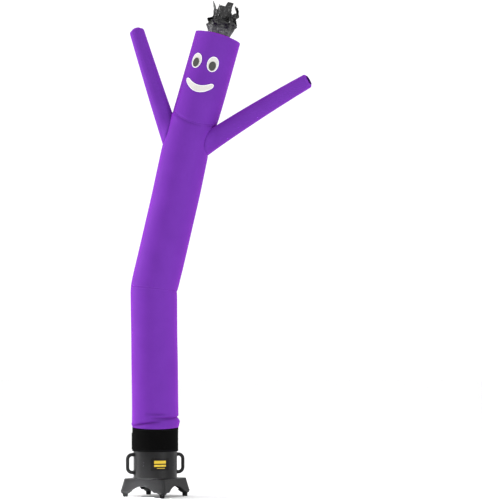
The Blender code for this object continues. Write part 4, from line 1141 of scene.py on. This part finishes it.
def face_patch(name, outline, azimuth, lift, columns, rows):
    """Mesh data of a patch on the head, raised along its edge by the stitch."""
    flat = []
    for j in range(rows + 1):
        up = (1 - math.cos(math.pi * j / rows)) / 2
        row = []
        for i in range(columns + 1):
            low, high = outline(i / columns)
            row.append([low[axis] + (high[axis] - low[axis]) * up for axis in (0, 1)])
        flat.append(row)
    border = flat[0] + flat[-1]
    gaps, found = [], []
    for row in flat:
        gap_row, point_row = [], []
        for aside, drop in row:
            gap = min(math.hypot(aside - x, drop - y) for x, y in border)
            height = TUBE_TOP - drop * tube_frame(TUBE_TOP - drop)[3].z
            turn = azimuth + math.degrees(aside / tube_frame(height)[1])
            bead = SATIN_RISE * math.sin(math.pi * gap / SATIN_WIDTH) ** 0.7 if gap < SATIN_WIDTH else 0.0
            gap_row.append(gap)
            point_row.append(tube_point(turn, height, lift + PATCH + bead))
        gaps.append(gap_row)
        found.append(point_row)
    return skin(name, found, wraps=False, place=lambda row, column: (
        flat[row][column][0] + flat[row][column][1], gaps[row][column]
    ))


white_twill = cotton_twill("white_cotton_twill_woven", "#CBC9C5", "#E8E8E8")
grey_twill = cotton_twill("grey_cotton_twill_woven", "#464642", "#363634")
eye = oval(EYE_DROP, EYE_HALF_WIDTH, EYE_HALF_HEIGHT)
pupil = oval(EYE_DROP + PUPIL_DROP, PUPIL_HALF_WIDTH, PUPIL_HALF_HEIGHT)
sides = (("left", EYE_AZIMUTH - EYE_SPREAD), ("right", EYE_AZIMUTH + EYE_SPREAD))
FACE = [
    # piece, node, what it lies on, outline, azimuth, lift, material, slot, flat size, flat area
    ("eye_patch_" + side, "eye_" + side, "head_panel", eye, azimuth, PATCH_LIFT, white_twill, "white_cloth",
     (0.0572, 0.0768), 0.00345) for side, azimuth in sides
] + [
    ("pupil_patch_" + side, "pupil_" + side, "eye_patch_" + side, pupil, azimuth, PUPIL_LIFT, grey_twill,
     "grey_cloth", (0.0340, 0.0464), 0.00124) for side, azimuth in sides
] + [
    ("mouth_patch", "mouth", "head_panel", smile, MOUTH_AZIMUTH, PATCH_LIFT, white_twill, "white_cloth",
     (0.148, 0.063), 0.0050)
]
for name, node, under, outline, azimuth, lift, twill, slot, flat_size, area in FACE:
    columns = 96 if node == "mouth" else 64
    piece = add_piece(name, face_patch(name, outline, azimuth, lift, columns, 26), twill, slot, node)
    add_modifier(piece, "SOLIDIFY", thickness=PATCH, offset=-1.0)


# Hair: a sleeve of black nylon, gathered and sewn round the head's vent and slit into nine strips, which
# the air blows upright. The thin cloth is crumpled, and some strips show their edge or a folded corner.

HAIR_RADIUS = 0.0560
HAIR_FLARE_RADIUS = 0.0650
HAIR_SLIT_HEIGHT = 0.0460
HAIR_COLUMNS = 36
HAIR_PLEATS = 9
HAIR_FIRST_AZIMUTH = -30.0
HAIR_FINE = 5                # columns of the mesh for each one of the pattern
HAIR_ROWS = 42               # of the mesh up a strip
HAIR_FOOT_ROWS = 12          # and up the foot
HAIR_COLUMN_WIDTH = 0.0022   # of the flat cloth, for each column of the mesh
HAIR_ROW_HEIGHT = 0.0045
HAIR_CLOTH = 0.0010
HAIR_STRIPS = (
    # columns, (distance from the axis, height) up the strip, how far each corner of its end is cut down,
    # how far it is turned about its length, in degrees, and how wide its end is left
    (6, ((0.070, 0.060), (0.074, 0.074), (0.052, 0.085), (0.036, 0.094), (0.033, 0.130), (0.034, 0.181)),
     (0.0260, 0.0000), 0.0, 0.92),
    (4, ((0.072, 0.064), (0.077, 0.080), (0.056, 0.094), (0.044, 0.104), (0.047, 0.118), (0.043, 0.132)),
     (0.0000, 0.0060), 10.0, 0.80),
    (4, ((0.069, 0.068), (0.071, 0.088), (0.058, 0.101), (0.057, 0.112), (0.0655, 0.132), (0.048, 0.174)),
     (0.0060, 0.0000), 30.0, 0.80),
    (4, ((0.069, 0.066), (0.076, 0.088), (0.064, 0.104), (0.054, 0.122), (0.056, 0.142)),
     (0.0000, 0.0080), 0.0, 0.90),
    (4, ((0.064, 0.070), (0.066, 0.084), (0.048, 0.098), (0.042, 0.136), (0.046, 0.162)),
     (0.0060, 0.0000), 0.0, 0.95),
    (4, ((0.070, 0.066), (0.074, 0.090), (0.056, 0.104), (0.056, 0.122), (0.062, 0.146)),
     (0.0000, 0.0060), 0.0, 0.90),
    (4, ((0.064, 0.066), (0.066, 0.080), (0.046, 0.093), (0.043, 0.116), (0.0395, 0.164)),
     (0.0060, 0.0000), 18.0, 0.60),
    (3, ((0.0680, 0.056), (0.050, 0.068), (0.042, 0.082), (0.045, 0.105), (0.053, 0.134), (0.0690, 0.167)),
     (0.0000, 0.0080), 20.0, 0.60),
    (3, ((0.066, 0.058), (0.058, 0.070), (0.048, 0.082), (0.047, 0.093), (0.051, 0.106), (0.046, 0.118)),
     (0.0050, 0.0000), -20.0, 0.80),
)


def hair_ring_point(column, share):
    """A point of the hair's whole, gathered foot, share 0 at the seam and 1 where the slits start."""
    angle = math.radians(HAIR_FIRST_AZIMUTH) + 2 * math.pi * column / HAIR_COLUMNS
    flare = HAIR_RADIUS + (HAIR_FLARE_RADIUS - HAIR_RADIUS) * share**1.5
    pleat = 0.0028 * math.cos(HAIR_PLEATS * angle) * math.sin(math.pi / 2 * share)
    sharp = abs(((column * 0.83 + 2.2 * share) % 1.0) - 0.5) - 0.25
    pleat += 0.0036 * sharp * math.sin(math.pi * min(share * 0.9 + 0.1, 1.0))
    low = HEAD_DOME + CLOTH * 0.5 + GAP
    wing = (math.degrees(angle) + 78.0 + 180.0) % 360.0 - 180.0
    reach = flare + pleat + 0.011 * math.exp(-((wing / 16.0) ** 2)) * share**1.5
    return around(reach, angle, low + (HAIR_SLIT_HEIGHT - low) * share)


def crumpled(point, amount):
    """The point moved by the creases of crumpled cloth, which are flat facets between sharp folds."""
    shift = Vector((0, 0, 0))
    for scale, share in ((34.0, 1.0), (75.0, 0.5), (150.0, 0.2)):
        for axis, seed in ((0, 3.1), (1, 8.7)):
            fold = noise.noise(point * scale + Vector((seed, seed, seed)))
            shift[axis] += (abs(fold) - 0.25) * amount * share
    return point + shift


def hair_strip_point(first, strip, column, along):
    """A point above the slits: column from the strip's left edge, along 0 at the slit and 1 at its end."""
    count, path, cuts, turned_by, end_width = strip
    root = hair_ring_point(first + column, 1.0)
    middle = math.radians(HAIR_FIRST_AZIMUTH) + 2 * math.pi * (first + count / 2) / HAIR_COLUMNS
    outward = around(1.0, middle, 0.0)
    sideways = Vector((math.cos(middle), math.sin(middle), 0.0))
    place = along * len(path)
    k = min(int(place), len(path) - 1)
    share = place - k
    start = (root.dot(outward), HAIR_SLIT_HEIGHT) if k == 0 else path[k - 1]
    reach = start[0] + (path[k][0] - start[0]) * share
    height = start[1] + (path[k][1] - start[1]) * share
    risen = min(max((height - 0.085) / 0.04, 0.0), 1.0)
    aside = root.dot(sideways) * (1 - (1 - end_width) * max(along - 0.3, 0.0) / 0.7)
    aside *= 1 + 0.35 * math.sin(math.pi * min(along / 0.55, 1.0))
    wave = 0.0024 * math.sin(2.4 * column + 5.0 * along + first) * math.sin(math.pi * min(along * 1.2, 1.0))
    across = min(max((column / count - 0.42) / 0.12, 0.0), 1.0)
    turned_side = Matrix.Rotation(math.radians(turned_by) * risen, 3, "Z") @ sideways
    point = outward * (reach + wave * along) + turned_side * aside
    point.z = height - (cuts[0] + (cuts[1] - cuts[0]) * across) * along**3
    return crumpled(point, (0.018 - 0.009 * risen) * min(along * 5.0, 1.0))


def crumpled_nylon():
    """Thin black nylon, woven, that has been crumpled in its packing: glossy facets 5 to 15 mm across between
    sharp creases, so that some glint and others stay black. Its foot, where it is drawn smooth over the
    seam, is painted grey: a painted sheen."""
    material, tree, shader = start_material("black_nylon_woven_crumpled")
    place = add_node(tree, "TexCoord").outputs["Object"]
    creases = []
    for scale, share in ((70.0, 1.0), (190.0, 0.35)):
        cells = add_node(tree, "TexVoronoi", {"Vector": place, "Scale": scale}, feature="F1")
        creases.append((cells.outputs["Distance"], share))
    bump = add_node(tree, "Bump", {"Strength": 0.9, "Distance": 0.004, "Height": relief(tree, creases)})
    dusty = add_node(tree, "TexNoise", {"Vector": place, "Scale": 60.0, "Detail": 4.0})
    shade = add_node(tree, "MapRange", {"Value": dusty.outputs["Fac"], "From Min": 0.35, "From Max": 0.65})
    colour = add_node(
        tree, "Mix", {0: shade.outputs[0], 6: from_hex("#060607"), 7: from_hex("#151516")}, data_type="RGBA"
    )
    up_the_cloth = add_node(tree, "SeparateXYZ", {0: add_node(tree, "UVMap").outputs[0]}).outputs[1]
    # Painted sheen: the hair's foot is painted grey, fading out between 30 and 62 mm up the cloth.
    painted_foot_sheen = add_node(tree, "MapRange", {
        "Value": up_the_cloth, "From Min": 0.030, "From Max": 0.062, "To Min": 1.0, "To Max": 0.0
    })
    colour = add_node(tree, "Mix", {
        0: painted_foot_sheen.outputs[0], 6: colour.outputs[2], 7: from_hex("#464747")
    }, data_type="RGBA")
    rough = add_node(tree, "MapRange", {"Value": dusty.outputs["Fac"], "To Min": 0.22, "To Max": 0.42})
    feed(tree, shader, {
        "Base Color": colour.outputs[2], "Roughness": rough.outputs[0], "Normal": bump.outputs["Normal"],
        "IOR": 1.53,
    })
    return material


bm = bmesh.new()
layer = bm.loops.layers.uv.new("flat_cloth")


def hair_rows(rows, start_column, wraps, start_height):
    """Adds rows of vertices to the hair's mesh and gives each face its place on the flat cloth."""
    count = len(rows[0])
    for j in range(len(rows) - 1):
        for i in range(count if wraps else count - 1):
            steps = ((j, i), (j, i + 1), (j + 1, i + 1), (j + 1, i))
            face = bm.faces.new([rows[row][column % count] for row, column in steps])
            for loop, (row, column) in zip(face.loops, steps):
                loop[layer].uv = (
                    (start_column + column) * HAIR_COLUMN_WIDTH, start_height + HAIR_ROW_HEIGHT * row
                )


fine_columns = HAIR_COLUMNS * HAIR_FINE
foot = [
    [bm.verts.new(hair_ring_point(i / HAIR_FINE, k / HAIR_FOOT_ROWS)) for i in range(fine_columns)]
    for k in range(HAIR_FOOT_ROWS + 1)
]
hair_rows(foot, 0, True, 0.0)
first = 0
for strip in HAIR_STRIPS:
    count = strip[0]
    rows = [[foot[-1][(first * HAIR_FINE + i) % fine_columns] for i in range(count * HAIR_FINE + 1)]]
    for k in range(1, HAIR_ROWS + 1):
        rows.append([
            bm.verts.new(hair_strip_point(first, strip, i / HAIR_FINE, k / HAIR_ROWS))
            for i in range(count * HAIR_FINE + 1)
        ])
    hair_rows(rows, first * HAIR_FINE, False, HAIR_ROW_HEIGHT * HAIR_FOOT_ROWS)
    first += count
hair_data = bpy.data.meshes.new("hair_sleeve")
bmesh.ops.recalc_face_normals(bm, faces=bm.faces)
bm.to_mesh(hair_data)
bm.free()
hair_data.shade_smooth()
hair_data.set_sharp_from_angle(angle=math.radians(32.0))
hair_data.transform(head_place())
hair = add_piece("hair_sleeve", hair_data, crumpled_nylon(), "hair_cloth", "hair")
add_modifier(hair, "SOLIDIFY", thickness=HAIR_CLOTH, offset=0.0)


# Cuff: a band of black loop cloth, sewn to the torso's foot, that grips the hook tape round the neck.

CUFF_LOW_Z = 0.2265
CUFF_HIGH_Z = 0.3440
CUFF_INNER = 0.1123
CUFF_THICKNESS = 0.0021
CUFF_COLUMNS = 120


def loop_cloth():
    """Black nylon loop cloth, knitted and brushed: a dense matt pile with a faint upright rib, 2 mm apart,
    a bound edge 9 mm wide and two rows of black thread along it."""
    material, tree, shader = start_material("black_nylon_loop_cloth_knitted")
    flat = add_node(tree, "UVMap").outputs[0]
    from_edge = add_node(tree, "SeparateXYZ", {0: flat}).outputs[1]
    place = add_node(tree, "TexCoord").outputs["Object"]
    pile = add_node(tree, "TexNoise", {"Vector": place, "Scale": 900.0, "Detail": 3.0})
    rib = add_node(tree, "TexWave", {"Vector": flat, "Scale": BAND_SPACING / 0.0020, "Distortion": 0.5})
    binding = add_node(tree, "MapRange", {
        "Value": from_edge, "From Min": 0.0085, "From Max": 0.0095, "To Min": 1.0, "To Max": 0.0
    })
    sewn = stitches(tree, flat, from_edge, 0.0070, 0.0038, 0.15, 0.35)
    height = relief(tree, (
        (rib.outputs["Fac"], 0.25), (pile.outputs["Fac"], 0.9), (binding.outputs[0], 0.8), (sewn, 0.9)
    ))
    bump = add_node(tree, "Bump", {"Strength": 0.6, "Distance": 0.0006, "Height": height})
    colour = add_node(tree, "Mix", {
        0: pile.outputs["Fac"], 6: from_hex("#040404"), 7: from_hex("#0A0A0A")
    }, data_type="RGBA")
    colour = add_node(tree, "Mix", {0: sewn, 6: colour.outputs[2], 7: from_hex("#26262A")}, data_type="RGBA")
    feed(tree, shader, {
        "Base Color": colour.outputs[2], "Normal": bump.outputs["Normal"], "Roughness": 0.95,
        "Specular IOR Level": 0.02, "Sheen Weight": 0.006, "Sheen Roughness": 0.6,
    })
    return material


loop_black = loop_cloth()
cuff_angles = [2 * math.pi * i / CUFF_COLUMNS for i in range(CUFF_COLUMNS)]
cuff_rows = []
cuff_gaps = []
cuff_height = CUFF_HIGH_Z - CUFF_LOW_Z
for share in [0.0, 0.006] + [k / 40 for k in range(1, 40)] + [0.994, 1.0]:
    row = []
    for angle in cuff_angles:
        wave = 0.0005 * math.sin(3 * angle + 0.6) + 0.0004 * math.sin(5 * angle + 2.0)
        pinch = 0.0006 * noise.noise(Vector((3 * math.sin(angle), 3 * math.cos(angle), 9 * share)))
        edge = 0.0009 if share in (0.0, 1.0) else 0.0
        hem = 0.0005 * math.exp(-min(share, 1 - share) * cuff_height / 0.006)
        reach = CUFF_INNER + CUFF_THICKNESS + wave * math.sin(math.pi * share) + pinch + hem - edge
        height = CUFF_LOW_Z + share * (cuff_height - foot_sag(angle))
        row.append(around(reach, angle, height))
    cuff_rows.append(row)
    cuff_gaps.append(min(share, 1 - share) * cuff_height)
for height, sag in ((CUFF_HIGH_Z, 1), (CUFF_LOW_Z, 0)):
    cuff_rows.append([around(CUFF_INNER, angle, height - sag * foot_sag(angle)) for angle in cuff_angles])
    cuff_gaps.append(0.0)
cuff = skin("cuff_band", cuff_rows, closes=True, place=lambda row, column: (
    0.72 * column / CUFF_COLUMNS, cuff_gaps[row % len(cuff_gaps)]
))
cuff_piece = add_piece("cuff_band", cuff, loop_black, "black_cloth", "cuff")


# Closing tab: a strip of the same loop cloth, sewn to the cuff at one end, that closes it on the left.
# It is cut and bound like the cuff, and its free end stands off a little.

TAB_AZIMUTH = -97.0
TAB_WIDTH = 0.062
TAB_HEIGHT = 0.082
TAB_LOW_Z = 0.2340
TAB_THICKNESS = 0.0020
TAB_LIFT = 0.0022
TAB_COLUMNS = 40
TAB_ROWS = 44


def tab_relief(across, up):
    """The tab lies on the cuff at its sewn end and stands off it at its free end, at 0 across."""
    free = max(0.0, 1.0 - across / 0.55)
    edge = min(TAB_WIDTH * min(across, 1 - across), TAB_HEIGHT * min(up, 1 - up))
    lift = TAB_LIFT * free**2 * (0.75 + 0.25 * math.cos(math.pi * (up - 0.5)))
    return lift - 0.0004 * math.exp(-edge / 0.0006)


tab_rows = wrapped_rows(
    CUFF_INNER + CUFF_THICKNESS + 0.0012 + TAB_THICKNESS, TAB_AZIMUTH, TAB_WIDTH, TAB_LOW_Z,
    TAB_LOW_Z + TAB_HEIGHT, TAB_COLUMNS, TAB_ROWS, tab_relief,
)
tab = skin("cuff_closing_tab", tab_rows, wraps=False, place=lambda row, column: (
    TAB_WIDTH * column / TAB_COLUMNS + TAB_HEIGHT * row / TAB_ROWS,
    min(TAB_WIDTH * min(column / TAB_COLUMNS, 1 - column / TAB_COLUMNS),
        TAB_HEIGHT * min(row / TAB_ROWS, 1 - row / TAB_ROWS)),
))
tab_piece = add_piece("cuff_closing_tab", tab, loop_black, "black_cloth", "cuff_tab")
add_modifier(tab_piece, "SOLIDIFY", thickness=TAB_THICKNESS, offset=-1.0)
